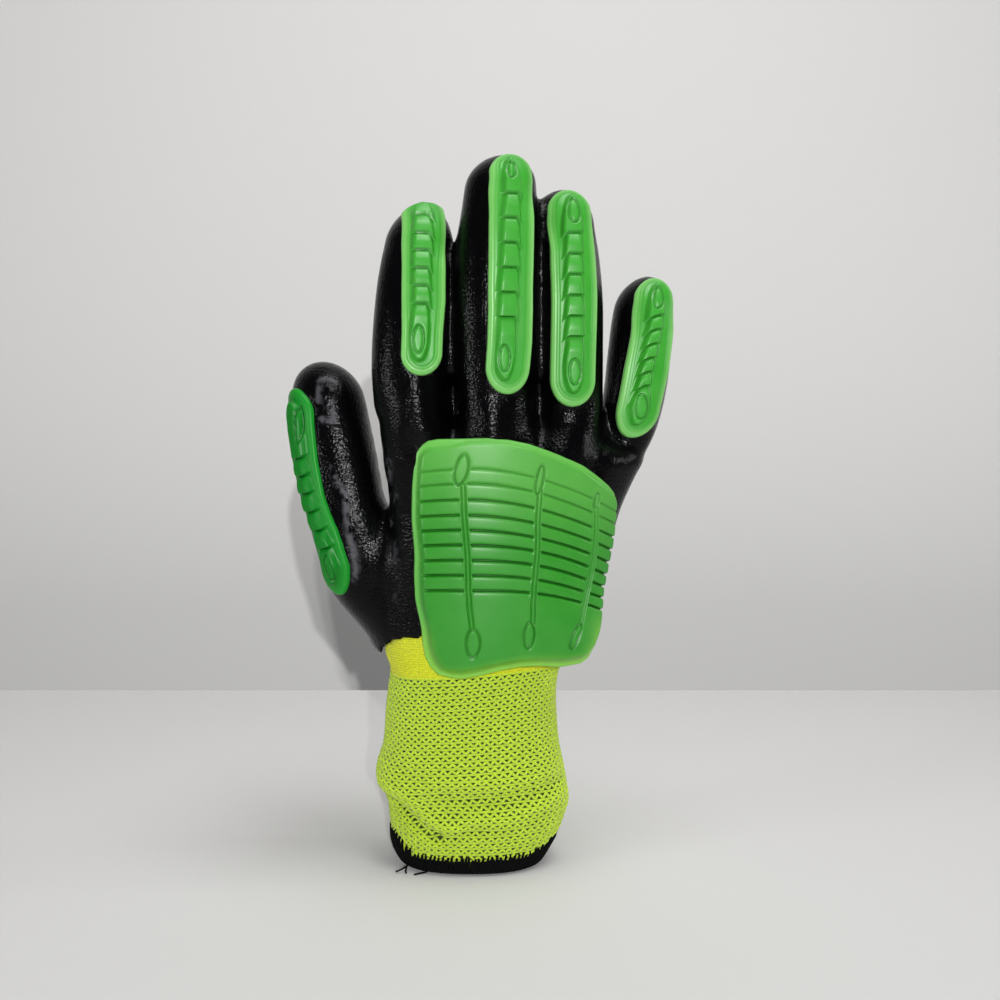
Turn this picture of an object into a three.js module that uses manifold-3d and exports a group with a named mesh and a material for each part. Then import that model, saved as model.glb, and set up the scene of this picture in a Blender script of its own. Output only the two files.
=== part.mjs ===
// Impact resistant work glove for the right hand: a knitted liner dipped in black nitrile up to the wrist, a
// lime knitted cuff with a black overlocked hem, and moulded green rubber guards on the back of the hand and
// on the digits.
//
// Millimetres. +Z runs from the cuff to the fingertips, the back of the hand faces -Y and the thumb is at -X.
// The origin is the centre of the cuff's mouth, in the plane of the hem's lowest edge.

import * as THREE from 'three';
import { mergeVertices } from 'three/addons/utils/BufferGeometryUtils.js';
import Module from 'manifold-3d';

const wasm = await Module();
wasm.setup();

// Driving dimensions

const COAT_WALL = 2.0; // liner and nitrile together
const KNIT_WALL = 1.6;
const JOIN_GAP = 0.3; // between the pieces of the hand, the cuff and the hem
const GUARD_GAP = 0.5; // between a guard and the coat under it
const COAT_BOTTOM = 76; // height of the coat's lower edge
const HEM_HEIGHT = 7;
const HEM_OUTSIDE = 1.1; // how far the hem stands out from the cuff
const HEM_INSIDE = 0.8; // how far the hem stands in from the cuff
const HEM_FLOOR = 1.2; // how thick the hem is under the cuff's edge
const HEM_ROUND = 0.6; // how far the hem's lower edges are rounded in
const PALM_DOME = 15; // height of the rounded top of the palm, between the finger roots
const BODY_POWER = 2.3; // roundness of the palm and cuff sections: 2 is an ellipse, more is squarer
const DIGIT_SIDES = 14;
const BODY_SIDES = 28;
const DOME_RINGS = 4;
const DOME_END = 82; // degrees round a digit's dome to its last ring
const CLEAR = 20; // how far a cutting slab reaches past what it cuts
const BLOCK_SIZE = 300; // width of a cutting slab
const NEAREST_RING = 2; // rings closer than this to an end or a shoulder are left out
const MERGE = 1e-4; // corners closer than this are one

// Tables

const table = (names, rows) => rows.map((row) => Object.fromEntries(names.map((name, i) => [name, row[i]])));
const SECTION = ['height', 'x', 'y', 'halfWide', 'halfDeep'];

// Each digit is a stack of level elliptic sections, turned about the vertical by 'turn' degrees so that its
// back faces right (+) or left (-) of straight ahead, and closed by a dome. 'cut' is where its stall parts from
// the palm.
const DIGITS = {
  index_finger: {
    turn: 20, cut: 158, tip: 226, dome: 12,
    rows: table(SECTION, [
      [122, -13.5, -2.5, 11.5, 11.0],
      [136, -16.0, -4.6, 13.0, 12.0],
      [147, -18.2, -5.6, 13.6, 12.6],
      [158, -19.6, -5.8, 13.0, 12.4],
      [172, -20.2, -5.2, 13.3, 12.0],
      [188, -19.8, -3.0, 13.0, 11.6],
      [202, -19.2, 0.6, 12.2, 11.2],
      [214, -18.2, 4.6, 11.0, 10.6],
      [226, -16.6, 9.6, 10.0, 10.0],
    ]),
  },
  middle_finger: {
    turn: 28, cut: 158, tip: 242, dome: 11,
    rows: table(SECTION, [
      [122, 7.6, -2.5, 14.0, 12.0],
      [148, 7.6, -4.8, 14.6, 12.8],
      [158, 7.5, -4.8, 13.6, 12.6],
      [176, 7.4, -4.2, 13.8, 12.4],
      [196, 7.2, -3.0, 13.8, 12.2],
      [214, 8.0, -0.6, 13.0, 11.8],
      [228, 9.0, 2.4, 12.2, 11.2],
      [243, 10.8, 6.6, 11.8, 10.6],
    ]),
  },
  ring_finger: {
    turn: 12, cut: 158, tip: 231.5, dome: 11,
    rows: table(SECTION, [
      [122, 30.0, 4.6, 12.0, 11.0],
      [146, 32.2, 3.4, 13.2, 12.0],
      [158, 33.0, 3.6, 11.2, 11.8],
      [176, 33.1, 4.2, 11.0, 11.6],
      [194, 33.0, 5.2, 11.0, 11.4],
      [208, 32.4, 7.0, 10.4, 10.8],
      [220, 31.4, 9.4, 9.6, 10.2],
      [233, 31.0, 12.6, 9.0, 9.6],
    ]),
  },
  little_finger: {
    turn: 15, cut: 152, tip: 203, dome: 11,
    rows: table(SECTION, [
      [112, 37.0, 8.5, 8.6, 8.8],
      [124, 41.0, 10.5, 9.4, 9.6],
      [137, 47.0, 12.2, 10.0, 10.6],
      [149, 53.2, 13.0, 9.8, 10.8],
      [162, 56.0, 13.6, 10.6, 10.8],
      [175, 57.4, 14.8, 11.0, 10.6],
      [188, 58.6, 17.0, 10.6, 10.2],
      [196, 59.6, 19.0, 9.8, 9.6],
      [204, 61.2, 21.5, 9.0, 9.0],
    ]),
  },
  thumb: {
    turn: -53, cut: 130, tip: 173.5, dome: 12,
    rows: table(SECTION, [
      [62, -17.0, 4.0, 9.0, 9.0],
      [76, -23.6, 4.2, 11.0, 10.5],
      [94, -35.4, 5.0, 15.0, 13.0],
      [108, -39.8, 6.0, 16.6, 13.6],
      [120, -42.6, 7.0, 16.8, 13.8],
      [132, -44.8, 8.4, 15.6, 13.6],
      [144, -46.8, 9.8, 14.6, 13.2],
      [158, -49.6, 12.0, 13.4, 12.4],
      [173, -52.4, 15.0, 12.4, 11.4],
    ]),
  },
};

// The palm, from the wrist to its rounded top. 'arch' lifts the middle of the back over its edges.
const PALM_TOP = 155;
const PALM_DOME_END = 78; // degrees round the palm's top to its last ring
const PALM_DOME_POWER = 0.35; // below 1, the palm's top keeps its width longer than its depth
const PALM_SIDE_ARCH = 0.4; // part of the arch that the palm's inner face follows
// The knuckles fall away towards the little finger.
const PALM_LEAN = { from: 22, base: 136, drop: 9, over: 36 };
const PALM = table([...SECTION, 'arch', 'turn'], [
  [60, 0.0, 0.0, 29.4, 18.0, 0.5, 2],
  [76, 2.0, 0.2, 31.4, 18.0, 1.5, 6],
  [86, 6.2, 0.8, 34.8, 17.6, 2.5, 9],
  [98, 8.4, 1.2, 36.8, 17.0, 3.5, 11],
  [111, 9.8, 1.6, 38.4, 16.6, 4.0, 13],
  [122, 10.8, 2.0, 39.6, 16.4, 4.2, 13],
  [132, 12.6, 2.6, 41.8, 16.4, 4.2, 13],
  [141, 14.2, 3.0, 44.2, 16.4, 4.0, 13],
  [156, 15.6, 3.4, 46.0, 16.0, 3.6, 13],
]);

// The knitted cuff, pushed down into soft folds: one bulge low on the right and one higher on the left.
const CUFF = table([...SECTION, 'arch', 'turn'], [
  [0, -1.0, 0.0, 24.2, 15.6, 0.0, 0],
  [7, -0.6, 0.0, 27.4, 16.8, 0.0, 0],
  [12, 0.6, 0.0, 29.4, 17.6, 0.0, 0],
  [17, 1.2, 0.2, 30.6, 18.2, 0.0, 0],
  [22, 1.6, 0.4, 31.6, 17.8, 0.0, 0],
  [28, -0.4, 0.2, 32.8, 18.6, 0.0, 0],
  [34, -1.2, 0.0, 32.6, 19.0, 0.0, 0],
  [43, -0.8, 0.0, 30.4, 18.6, 0.0, 0],
  [55, -0.8, 0.0, 29.4, 18.2, 0.2, 1],
  [66, -0.4, 0.0, 29.2, 18.0, 0.6, 3],
  [76, 2.0, 0.2, 31.4, 18.0, 1.5, 6],
]);

// The plate stands off the narrowing wrist: it follows the palm above, and keeps its own wider line below.
const PLATE_BED_TOP = 90; // above this height the plate follows the palm
const PLATE_BED = [
  ...table([...SECTION, 'arch', 'turn'], [
    [60, 10.2, 0.8, 34.6, 17.4, 1.2, 11],
    [74, 9.8, 0.8, 35.4, 17.7, 2.0, 12],
    [86, 9.6, 1.0, 36.4, 17.6, 2.8, 12],
  ]),
  ...PALM.filter((row) => row.height > PLATE_BED_TOP),
];

// Finger guards. Their places are measured along the back of the digit: 'bottom' is a height, 'wrap' is how
// far the top end reaches round the tip's dome, in degrees. 'slant' is how far the bottom end lies to the right
// of the top end, and 'firstNotch' is the height of the lowest cross notch.
const GUARDS = table(
  ['name', 'digit', 'bottom', 'wrap', 'centre', 'slant', 'halfWide', 'firstNotch', 'pitch'],
  [
    ['index_guard', 'index_finger', 169, 60, 0.0, 0.0, 7.0, 193, 5.6],
    ['middle_guard', 'middle_finger', 163, 60, 0.0, -0.6, 7.0, 188, 8.1],
    ['ring_guard', 'ring_finger', 158.5, 55, -0.4, -0.4, 7.0, 182, 6.8],
    ['little_guard', 'little_finger', 147.5, 55, 0.0, -1.0, 6.6, 165, 4.8],
    ['thumb_guard', 'thumb', 94, 12, 0.8, 3.6, 7.0, 109, 6.2],
  ],
);
const NOTCH_COUNT = 6;
const NOTCH_STEP = 1.2; // length of the step down from one segment of a ridge to the next
const NOTCH_DEPTH = 1.3;
const LONGEST_ROW = { straight: 7, bent: 3.5 }; // longest steps along a guard, and where it bends over a tip
const FLANGE_THICK = 1.5; // a guard's thin rim
const RIDGE_THICK = 3.8; // a guard's raised middle
const RIDGE_SHARE = 0.52; // part of the half width that the ridge's flat top takes
const FLANGE_SHARE = 0.76; // part of the half width where the rim begins
const END_ROUND = 6; // corner radius at a guard's two ends
const END_INSET = 0.8; // part of the corner radius that the ends draw in
const END_SLOPE = 4; // length of the ridge's fall to the rim at each end
const END_RIM = 1.5; // length of the flat rim at each end

// The plate on the back of the hand
const PLATE_TOP = 148;
const PLATE_BOTTOM = 69;
const PLATE_SIDE = 33.5; // half width at the knuckles
const PLATE_WRIST_SIDE = 27; // half width at the wrist end
const PLATE_SHIFT = 1.2; // the plate sits this far towards the little finger
const PLATE_CORNER = { top: 5, bottom: 11 }; // corner radii
const PLATE_FLARE = 0.55; // below 1, the plate keeps its width towards the wrist
const PLATE_RIM = 1.5; // thickness of the rim
const PLATE_RIM_WIDTH = 3.6;
const PLATE_EDGE = 1.2; // length of the first row in from each end
const PLATE_THICK = 3.6;
const PLATE_DROP_POWER = 1.5;
const PLATE_DROP = 15; // how much lower the top edge is at the little finger than at the middle
const PLATE_RISE = 3; // how much higher the bottom edge is on that side
const GROOVE_COUNT = 9;
const GROOVE_TOP = 137.5; // height of the highest cross groove
const GROOVE_PITCH = 5.1;
const GROOVE_STEP = 1.2;
const GROOVE_DEPTH = 1.4;
const PLATE_COLUMNS = 10;

// Small helpers

const radians = THREE.MathUtils.degToRad;
const lerp = THREE.MathUtils.lerp;

// Reads a table at any height, along a smooth curve through its rows.
function rowAt(rows, height) {
  const last = rows.length - 2;
  let i = rows.findIndex((row, n) => n > 0 && row.height >= height) - 1;
  i = i < 0 ? (height < rows[0].height ? 0 : last) : i;
  const before = rows[Math.max(i - 1, 0)];
  const low = rows[i];
  const high = rows[i + 1];
  const after = rows[Math.min(i + 2, last + 1)];
  const span = high.height - low.height;
  const t = (height - low.height) / span;
  const out = { height };
  for (const key of Object.keys(low).filter((name) => name !== 'height')) {
    const slopeLow = ((high[key] - before[key]) / (high.height - before.height)) * span;
    const slopeHigh = ((after[key] - low[key]) / (after.height - low.height)) * span;
    const cubic = 2 * (low[key] - high[key]) + slopeLow + slopeHigh;
    const square = 3 * (high[key] - low[key]) - 2 * slopeLow - slopeHigh;
    out[key] = ((cubic * t + square) * t + slopeLow) * t + low[key];
  }
  return out;
}

const range = (from, to, steps) => Array.from({ length: steps + 1 }, (_, i) => lerp(from, to, i / steps));

// How far a section reaches towards its back, as a share of its half depth, at 'share' of its half width.
const bulge = (share, power) => (1 - Math.min(Math.abs(share), 1) ** power) ** (1 / power);

// A point of a section: 'side' mm across it and 'out' mm towards the back of the hand.
function sectionPoint(row, turn, side, out) {
  const angle = radians(turn);
  const x = row.x + side * Math.cos(angle) + out * Math.sin(angle);
  const y = row.y + side * Math.sin(angle) - out * Math.cos(angle);
  return new THREE.Vector3(x, y, row.height);
}

// One closed ring of a section, counterclockwise from above.
function sectionRing(row, { turn, power, sides, grow, scale = 1 }) {
  const wide = (row.halfWide + grow) * scale;
  const deep = (row.halfDeep + grow) * scale;
  const root = (value) => Math.sign(value) * Math.abs(value) ** (2 / power);
  return Array.from({ length: sides }, (_, i) => {
    const angle = (i / sides) * 2 * Math.PI;
    const share = root(Math.cos(angle));
    const depth = root(Math.sin(angle));
    const arch = (row.arch ?? 0) * scale * (1 - share ** 2) * (depth < 0 ? 1 : PALM_SIDE_ARCH);
    return sectionPoint(row, turn, wide * share, -deep * depth + arch);
  });
}

// Geometry from a list of points and a list of triangles.
function bodyFrom(points, triangles) {
  const geometry = new THREE.BufferGeometry();
  const numbers = points.flatMap((point) => point.toArray());
  geometry.setAttribute('position', new THREE.Float32BufferAttribute(numbers, 3));
  geometry.setIndex(triangles.flat());
  return geometry;
}

// A closed body lofted through rings that are stacked upwards, each end closed by a fan.
function loft(rings) {
  const sides = rings[0].length;
  const points = rings.flat();
  const triangles = [];
  for (let level = 0; level + 1 < rings.length; level += 1) {
    for (let i = 0; i < sides; i += 1) {
      const next = (i + 1) % sides;
      const low = level * sides;
      const high = low + sides;
      triangles.push([low + i, low + next, high + next], [low + i, high + next, high + i]);
    }
  }
  const middle = (ring) => ring.reduce((sum, p) => sum.add(p), new THREE.Vector3()).divideScalar(sides);
  const bottom = points.push(middle(rings[0])) - 1;
  const top = points.push(middle(rings[rings.length - 1])) - 1;
  const lastRing = (rings.length - 1) * sides;
  for (let i = 0; i < sides; i += 1) {
    const next = (i + 1) % sides;
    triangles.push([bottom, next, i], [top, lastRing + i, lastRing + next]);
  }
  return bodyFrom(points, triangles);
}

// Booleans

function toSolid(geometry) {
  const bare = geometry.clone();
  bare.deleteAttribute('normal');
  bare.deleteAttribute('uv');
  const merged = mergeVertices(bare, MERGE);
  const vertProperties = new Float32Array(merged.attributes.position.array);
  const triVerts = new Uint32Array(merged.index.array);
  return new wasm.Manifold(new wasm.Mesh({ numProp: 3, vertProperties, triVerts }));
}

function toGeometry(solid) {
  const { vertProperties, triVerts } = solid.getMesh();
  const geometry = new THREE.BufferGeometry();
  geometry.setAttribute('position', new THREE.Float32BufferAttribute(vertProperties, 3));
  geometry.setIndex(new THREE.Uint32BufferAttribute(triVerts, 1));
  geometry.computeVertexNormals();
  return geometry;
}

// A big block that holds all space between two heights, for cutting digits across.
function slab(from, to) {
  const block = new THREE.BoxGeometry(BLOCK_SIZE, BLOCK_SIZE, to - from);
  return toSolid(block.translate(0, 0, (from + to) / 2));
}

const joined = (solids) => solids.reduce((sum, solid) => sum.add(solid));

// Digits

// The solid body of one digit, 'grow' mm larger (or smaller, when negative) all round.
function digitBody(digit, grow) {
  const shape = { turn: digit.turn, power: 2, sides: DIGIT_SIDES, grow };
  const shoulder = digit.tip - digit.dome;
  const straight = digit.rows.filter((row) => row.height < shoulder - NEAREST_RING).map((row) => row.height);
  const rings = [...straight, shoulder].map((height) => sectionRing(rowAt(digit.rows, height), shape));
  for (let i = 1; i <= DOME_RINGS; i += 1) {
    const angle = (i / DOME_RINGS) * radians(DOME_END);
    const row = rowAt(digit.rows, shoulder + (digit.dome + grow) * Math.sin(angle));
    rings.push(sectionRing(row, { ...shape, scale: Math.cos(angle) }));
  }
  return toSolid(loft(rings));
}

// The hollow stall of a digit above its cut.
function stall(digit) {
  const wall = digitBody(digit, 0).subtract(digitBody(digit, -COAT_WALL));
  return wall.intersect(slab(digit.cut + JOIN_GAP / 2, digit.tip + CLEAR));
}

// Palm

function palmBody(grow) {
  const shoulder = PALM_TOP - PALM_DOME;
  const shape = (row) => ({ turn: row.turn, power: BODY_POWER, sides: BODY_SIDES, grow });
  const below = PALM.filter((row) => row.height < shoulder - NEAREST_RING);
  const rings = [...below, rowAt(PALM, shoulder)].map((row) => sectionRing(row, shape(row)));
  for (let i = 1; i <= DOME_RINGS; i += 1) {
    const angle = (i / DOME_RINGS) * radians(PALM_DOME_END);
    const row = rowAt(PALM, shoulder + (PALM_DOME + grow) * Math.sin(angle));
    const closing = Math.cos(angle);
    const rounded = {
      ...row,
      halfWide: row.halfWide * closing ** PALM_DOME_POWER,
      halfDeep: row.halfDeep * closing,
      arch: row.arch * closing,
    };
    rings.push(sectionRing(rounded, shape(row)));
  }
  for (const point of rings.flat()) {
    const sideways = Math.max(point.x - PALM_LEAN.from, 0) / PALM_LEAN.over;
    const upwards = Math.max(point.z - PALM_LEAN.base, 0) / (PALM_TOP - PALM_LEAN.base);
    point.z -= PALM_LEAN.drop * sideways ** 2 * upwards;
  }
  return toSolid(loft(rings));
}

function palmShell() {
  const digits = Object.values(DIGITS);
  const root = (digit) => digitBody(digit, 0).intersect(slab(COAT_BOTTOM, digit.cut - JOIN_GAP / 2));
  const outside = joined([palmBody(0), ...digits.map(root)]);
  const hollow = joined([palmBody(-COAT_WALL), ...digits.map((digit) => digitBody(digit, -COAT_WALL))]);
  return outside.subtract(hollow).intersect(slab(COAT_BOTTOM, PALM_TOP + CLEAR));
}

// Cuff and hem

function cuffRing(height, grow) {
  const row = rowAt(CUFF, height);
  return sectionRing(row, { turn: row.turn, power: BODY_POWER, sides: BODY_SIDES, grow });
}

// A closed band round the cuff's line, whose profile is a list of [height, grow] pairs, going up outside and
// down inside.
function band(profile) {
  const rings = profile.map(([height, grow]) => cuffRing(height, grow));
  const count = rings.length;
  const triangles = [];
  for (let level = 0; level < count; level += 1) {
    for (let i = 0; i < BODY_SIDES; i += 1) {
      const next = (i + 1) % BODY_SIDES;
      const low = level * BODY_SIDES;
      const high = ((level + 1) % count) * BODY_SIDES;
      triangles.push([low + i, low + next, high + next], [low + i, high + next, high + i]);
    }
  }
  return bodyFrom(rings.flat(), triangles);
}

function knitCuff() {
  const bottom = HEM_FLOOR + JOIN_GAP;
  const top = COAT_BOTTOM - JOIN_GAP;
  const inside = ({ height }) => height > bottom + NEAREST_RING && height < top - NEAREST_RING;
  const heights = [bottom, ...CUFF.filter(inside).map((row) => row.height), top];
  const outerLine = heights.map((height) => [height, 0]);
  const innerLine = heights.toReversed().map((height) => [height, -KNIT_WALL]);
  return band([...outerLine, ...innerLine]);
}

// The hem is a channel that takes the cuff's lower edge.
function hemBinding() {
  const outer = HEM_OUTSIDE;
  const inner = -KNIT_WALL - HEM_INSIDE;
  return band([
    [0, outer - HEM_ROUND],
    [HEM_FLOOR, outer],
    [HEM_HEIGHT - HEM_ROUND, outer],
    [HEM_HEIGHT, JOIN_GAP],
    [HEM_FLOOR, JOIN_GAP],
    [HEM_FLOOR, -KNIT_WALL - JOIN_GAP],
    [HEM_HEIGHT, -KNIT_WALL - JOIN_GAP],
    [HEM_HEIGHT - HEM_ROUND, inner],
    [HEM_FLOOR, inner],
    [0, inner + HEM_ROUND],
  ]);
}

// Guards

// A point on the back of a digit, 'side' mm across and 'along' mm up. Past the dome's shoulder, the way up
// bends over the tip.
function onDigit(digit, side, along) {
  const shoulder = digit.tip - digit.dome;
  const over = Math.max(along - shoulder, 0) / digit.dome;
  const nominal = rowAt(digit.rows, Math.min(along, shoulder));
  const round = bulge(side / nominal.halfWide, 2);
  const height = Math.min(along, shoulder) + digit.dome * round * Math.sin(over);
  const row = rowAt(digit.rows, height);
  return sectionPoint(row, digit.turn, side, row.halfDeep * round * Math.cos(over));
}

// A point on the bed that the plate follows.
function onBack(side, height) {
  const row = rowAt(PLATE_BED, height);
  const share = side / row.halfWide;
  const out = row.halfDeep * bulge(share, BODY_POWER) + row.arch * (1 - share ** 2);
  return sectionPoint(row, row.turn, side, out);
}

const PROBE = 0.4; // step for measuring a surface's slope

// Lifts a point off a surface along its normal.
function lifted(place, side, along, lift) {
  const across = place(side + PROBE, along).sub(place(side - PROBE, along));
  const up = place(side, along + PROBE).sub(place(side, along - PROBE));
  return place(side, along).addScaledVector(across.cross(up).normalize(), lift);
}

// A closed pad on a surface. 'spots' holds rows of {side, along, thick}, from the bottom row up.
function pad(place, spots) {
  const rows = spots.length;
  const columns = spots[0].length;
  const outside = spots.flat().map((s) => lifted(place, s.side, s.along, GUARD_GAP + s.thick));
  const inside = spots.flat().map((s) => lifted(place, s.side, s.along, GUARD_GAP));
  const under = rows * columns;
  const at = (row, column) => row * columns + column;
  const triangles = [];
  const quad = (a, b, c, d) => triangles.push([a, b, c], [a, c, d]);
  for (let row = 0; row + 1 < rows; row += 1) {
    for (let column = 0; column + 1 < columns; column += 1) {
      const corners = [at(row, column), at(row, column + 1), at(row + 1, column + 1), at(row + 1, column)];
      quad(...corners);
      quad(...corners.toReversed().map((i) => i + under));
    }
    const [left, leftUp] = [at(row, 0), at(row + 1, 0)];
    const [right, rightUp] = [at(row, columns - 1), at(row + 1, columns - 1)];
    quad(left + under, left, leftUp, leftUp + under);
    quad(right, right + under, rightUp + under, rightUp);
  }
  for (let column = 0; column + 1 < columns; column += 1) {
    const [low, lowNext] = [at(0, column), at(0, column + 1)];
    const [high, highNext] = [at(rows - 1, column), at(rows - 1, column + 1)];
    quad(low + under, lowNext + under, lowNext, low);
    quad(high, highNext, highNext + under, high + under);
  }
  return bodyFrom([...outside, ...inside], triangles);
}

// How much an outline draws in near an end whose corners are rounded.
function cornerInset(fromEnd, radius) {
  const t = THREE.MathUtils.clamp(fromEnd, 0, radius);
  return radius - Math.sqrt(radius ** 2 - (radius - t) ** 2);
}

// The segments of a ridge overlap like scales: each level in 'steps' is the foot of a short step.
const isFoot = (along, steps) => steps.some((step) => Math.abs(along - step) < MERGE);

// Adds levels where two neighbours lie further apart than the longest row. The bend starts at 'bendFrom'.
function filled(levels, bendFrom) {
  const sorted = levels.toSorted((a, b) => a - b);
  return sorted.flatMap((level, i) => {
    const next = sorted[i + 1] ?? level;
    const longest = next > bendFrom ? LONGEST_ROW.bent : LONGEST_ROW.straight;
    const steps = Math.max(Math.ceil((next - level) / longest), 1);
    return range(level, next, steps).slice(0, steps);
  });
}

function fingerGuard(spec) {
  const digit = DIGITS[spec.digit];
  const top = digit.tip - digit.dome + radians(spec.wrap) * digit.dome;
  const notches = range(spec.firstNotch, spec.firstNotch + (NOTCH_COUNT - 1) * spec.pitch, NOTCH_COUNT - 1);
  const rowsAlong = filled([
    spec.bottom, spec.bottom + END_RIM, spec.bottom + END_SLOPE, spec.bottom + END_ROUND,
    ...notches.flatMap((foot) => [foot, foot + NOTCH_STEP]),
    top - END_ROUND, top - END_SLOPE, top - END_RIM, top,
  ], digit.tip - digit.dome);
  const shares = [-1, -FLANGE_SHARE, -RIDGE_SHARE, 0, RIDGE_SHARE, FLANGE_SHARE, 1];
  const spots = rowsAlong.map((along) => {
    const fromEnd = Math.min(along - spec.bottom, top - along);
    const half = spec.halfWide - cornerInset(fromEnd, END_ROUND) * END_INSET;
    const rise = THREE.MathUtils.smoothstep(fromEnd, END_RIM / 2, END_SLOPE);
    const centre = spec.centre + (spec.slant * (top - along)) / (top - spec.bottom);
    const crown = RIDGE_THICK - (isFoot(along, notches) ? NOTCH_DEPTH : 0);
    return shares.map((share) => {
      const onRidge = Math.abs(share) <= RIDGE_SHARE;
      const thick = onRidge ? lerp(FLANGE_THICK, crown, rise) : FLANGE_THICK;
      return { side: centre + share * half, along, thick };
    });
  });
  return pad((side, along) => onDigit(digit, side, along), spots);
}

function backGuard() {
  const grooves = range(GROOVE_TOP - (GROOVE_COUNT - 1) * GROOVE_PITCH, GROOVE_TOP, GROOVE_COUNT - 1);
  const levels = filled([
    PLATE_BOTTOM, PLATE_BOTTOM + PLATE_EDGE, PLATE_BOTTOM + PLATE_RIM_WIDTH, PLATE_BOTTOM + PLATE_CORNER.bottom,
    ...grooves.flatMap((foot) => [foot, foot + GROOVE_STEP]),
    PLATE_TOP - PLATE_RIM_WIDTH, PLATE_TOP - PLATE_EDGE, PLATE_TOP,
  ], PLATE_TOP);
  const rim = PLATE_RIM_WIDTH / PLATE_SIDE;
  const shares = [-1, ...range(-1 + rim, 1 - rim, PLATE_COLUMNS), 1];
  const spots = levels.map((level) => {
    const up = (level - PLATE_BOTTOM) / (PLATE_TOP - PLATE_BOTTOM);
    const ends = { bottom: level - PLATE_BOTTOM, top: PLATE_TOP - level };
    const inset = cornerInset(ends.bottom, PLATE_CORNER.bottom) + cornerInset(ends.top, PLATE_CORNER.top);
    const half = lerp(PLATE_WRIST_SIDE, PLATE_SIDE, up ** PLATE_FLARE) - inset;
    const onTop = Math.min(ends.bottom, ends.top) >= PLATE_RIM_WIDTH;
    const crown = PLATE_THICK - (isFoot(level, grooves) ? GROOVE_DEPTH : 0);
    return shares.map((share) => {
      const right = Math.max(share, 0);
      const drop = PLATE_DROP * up * right ** PLATE_DROP_POWER - PLATE_RISE * (1 - up) * right;
      const thick = onTop && Math.abs(share) < 1 ? crown : PLATE_RIM;
      return { side: PLATE_SHIFT + share * half, along: level - drop, thick };
    });
  });
  return pad(onBack, spots);
}

// Materials and the finished group

const finish = (color, roughness) => new THREE.MeshStandardMaterial({ color, roughness, metalness: 0 });
const NITRILE = finish('#101012', 0.35);
const KNIT = finish('#b4d040', 0.95);
const BINDING = finish('#0a0a0d', 0.9);
const GUARD_RUBBER = finish('#48b848', 0.45);
const THUMB_RUBBER = finish('#22a035', 0.45);

const glove = new THREE.Group();

function addPiece(name, geometry, material) {
  const mesh = new THREE.Mesh(geometry, material);
  mesh.name = name;
  glove.add(mesh);
}

addPiece('palm_shell', toGeometry(palmShell()), NITRILE);
for (const [name, digit] of Object.entries(DIGITS)) {
  addPiece(name, toGeometry(stall(digit)), NITRILE);
}
addPiece('knit_cuff', knitCuff(), KNIT);
addPiece('hem_binding', hemBinding(), BINDING);
addPiece('back_guard', backGuard(), GUARD_RUBBER);
for (const spec of GUARDS) {
  addPiece(spec.name, fingerGuard(spec), spec.name === 'thumb_guard' ? THUMB_RUBBER : GUARD_RUBBER);
}

export default glove;
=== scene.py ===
# %% [markdown]
# # Impact resistant work glove
#
# A right-hand work glove stands on the hem of its cuff, filled as a hand would fill it. It has a knitted
# liner dipped in black nitrile, a lime knitted cuff with a black overlocked hem, and moulded green guards.
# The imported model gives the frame: every piece here is made where its solid lies, in metres.

import functools
import math

import bpy
import numpy as np
import openvdb
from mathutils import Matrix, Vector


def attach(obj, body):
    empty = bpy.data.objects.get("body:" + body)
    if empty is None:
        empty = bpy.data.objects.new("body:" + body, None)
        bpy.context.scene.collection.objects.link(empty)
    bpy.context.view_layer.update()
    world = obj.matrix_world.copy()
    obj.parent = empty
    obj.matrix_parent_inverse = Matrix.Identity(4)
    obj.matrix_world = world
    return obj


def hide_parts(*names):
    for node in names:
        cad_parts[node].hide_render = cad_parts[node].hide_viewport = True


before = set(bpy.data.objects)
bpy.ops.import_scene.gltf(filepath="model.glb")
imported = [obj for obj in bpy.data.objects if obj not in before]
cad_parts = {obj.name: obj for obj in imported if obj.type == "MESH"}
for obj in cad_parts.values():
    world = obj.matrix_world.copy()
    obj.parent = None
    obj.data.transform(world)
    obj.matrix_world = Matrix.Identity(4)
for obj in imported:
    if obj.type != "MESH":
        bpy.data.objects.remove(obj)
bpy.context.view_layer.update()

# %% [markdown]
# ## Tools for shapes
#
# All shapes are worked out in millimetres with numpy and turned to metres once, when a mesh is made. A glove
# is round but not regular, so its forms are stacks of level sections. Each section is one row of a short
# table, and a smooth curve through the rows gives the section at any height.

# %% Units and small helpers
MM = 0.001
RANDOM = np.random.default_rng(7)


def ramp(value, start, end):
    """A smooth step from 0 at start to 1 at end."""
    t = np.clip((value - start) / (end - start), 0.0, 1.0)
    return t * t * (3.0 - 2.0 * t)


def hump(distance, width):
    """A smooth bump of height 1, which has faded away at about twice the width."""
    return np.exp(-((distance / width) ** 2))


def read_rows(rows, heights):
    """Reads every column of a table at the given heights, along a smooth curve through its rows."""
    rows = np.asarray(rows, float)
    heights = np.asarray(heights, float)
    last = len(rows) - 2
    low = np.clip(np.searchsorted(rows[:, 0], heights) - 1, 0, last)
    before = rows[np.maximum(low - 1, 0)]
    start = rows[low]
    end = rows[low + 1]
    after = rows[np.minimum(low + 2, last + 1)]
    span = end[..., :1] - start[..., :1]
    t = (heights[..., None] - start[..., :1]) / span
    slope_in = (end - before) / (end[..., :1] - before[..., :1]) * span
    slope_out = (after - start) / (after[..., :1] - start[..., :1]) * span
    cubic = 2 * (start - end) + slope_in + slope_out
    square = 3 * (end - start) - 2 * slope_in - slope_out
    return ((cubic * t + square) * t + slope_in) * t + start


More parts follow.
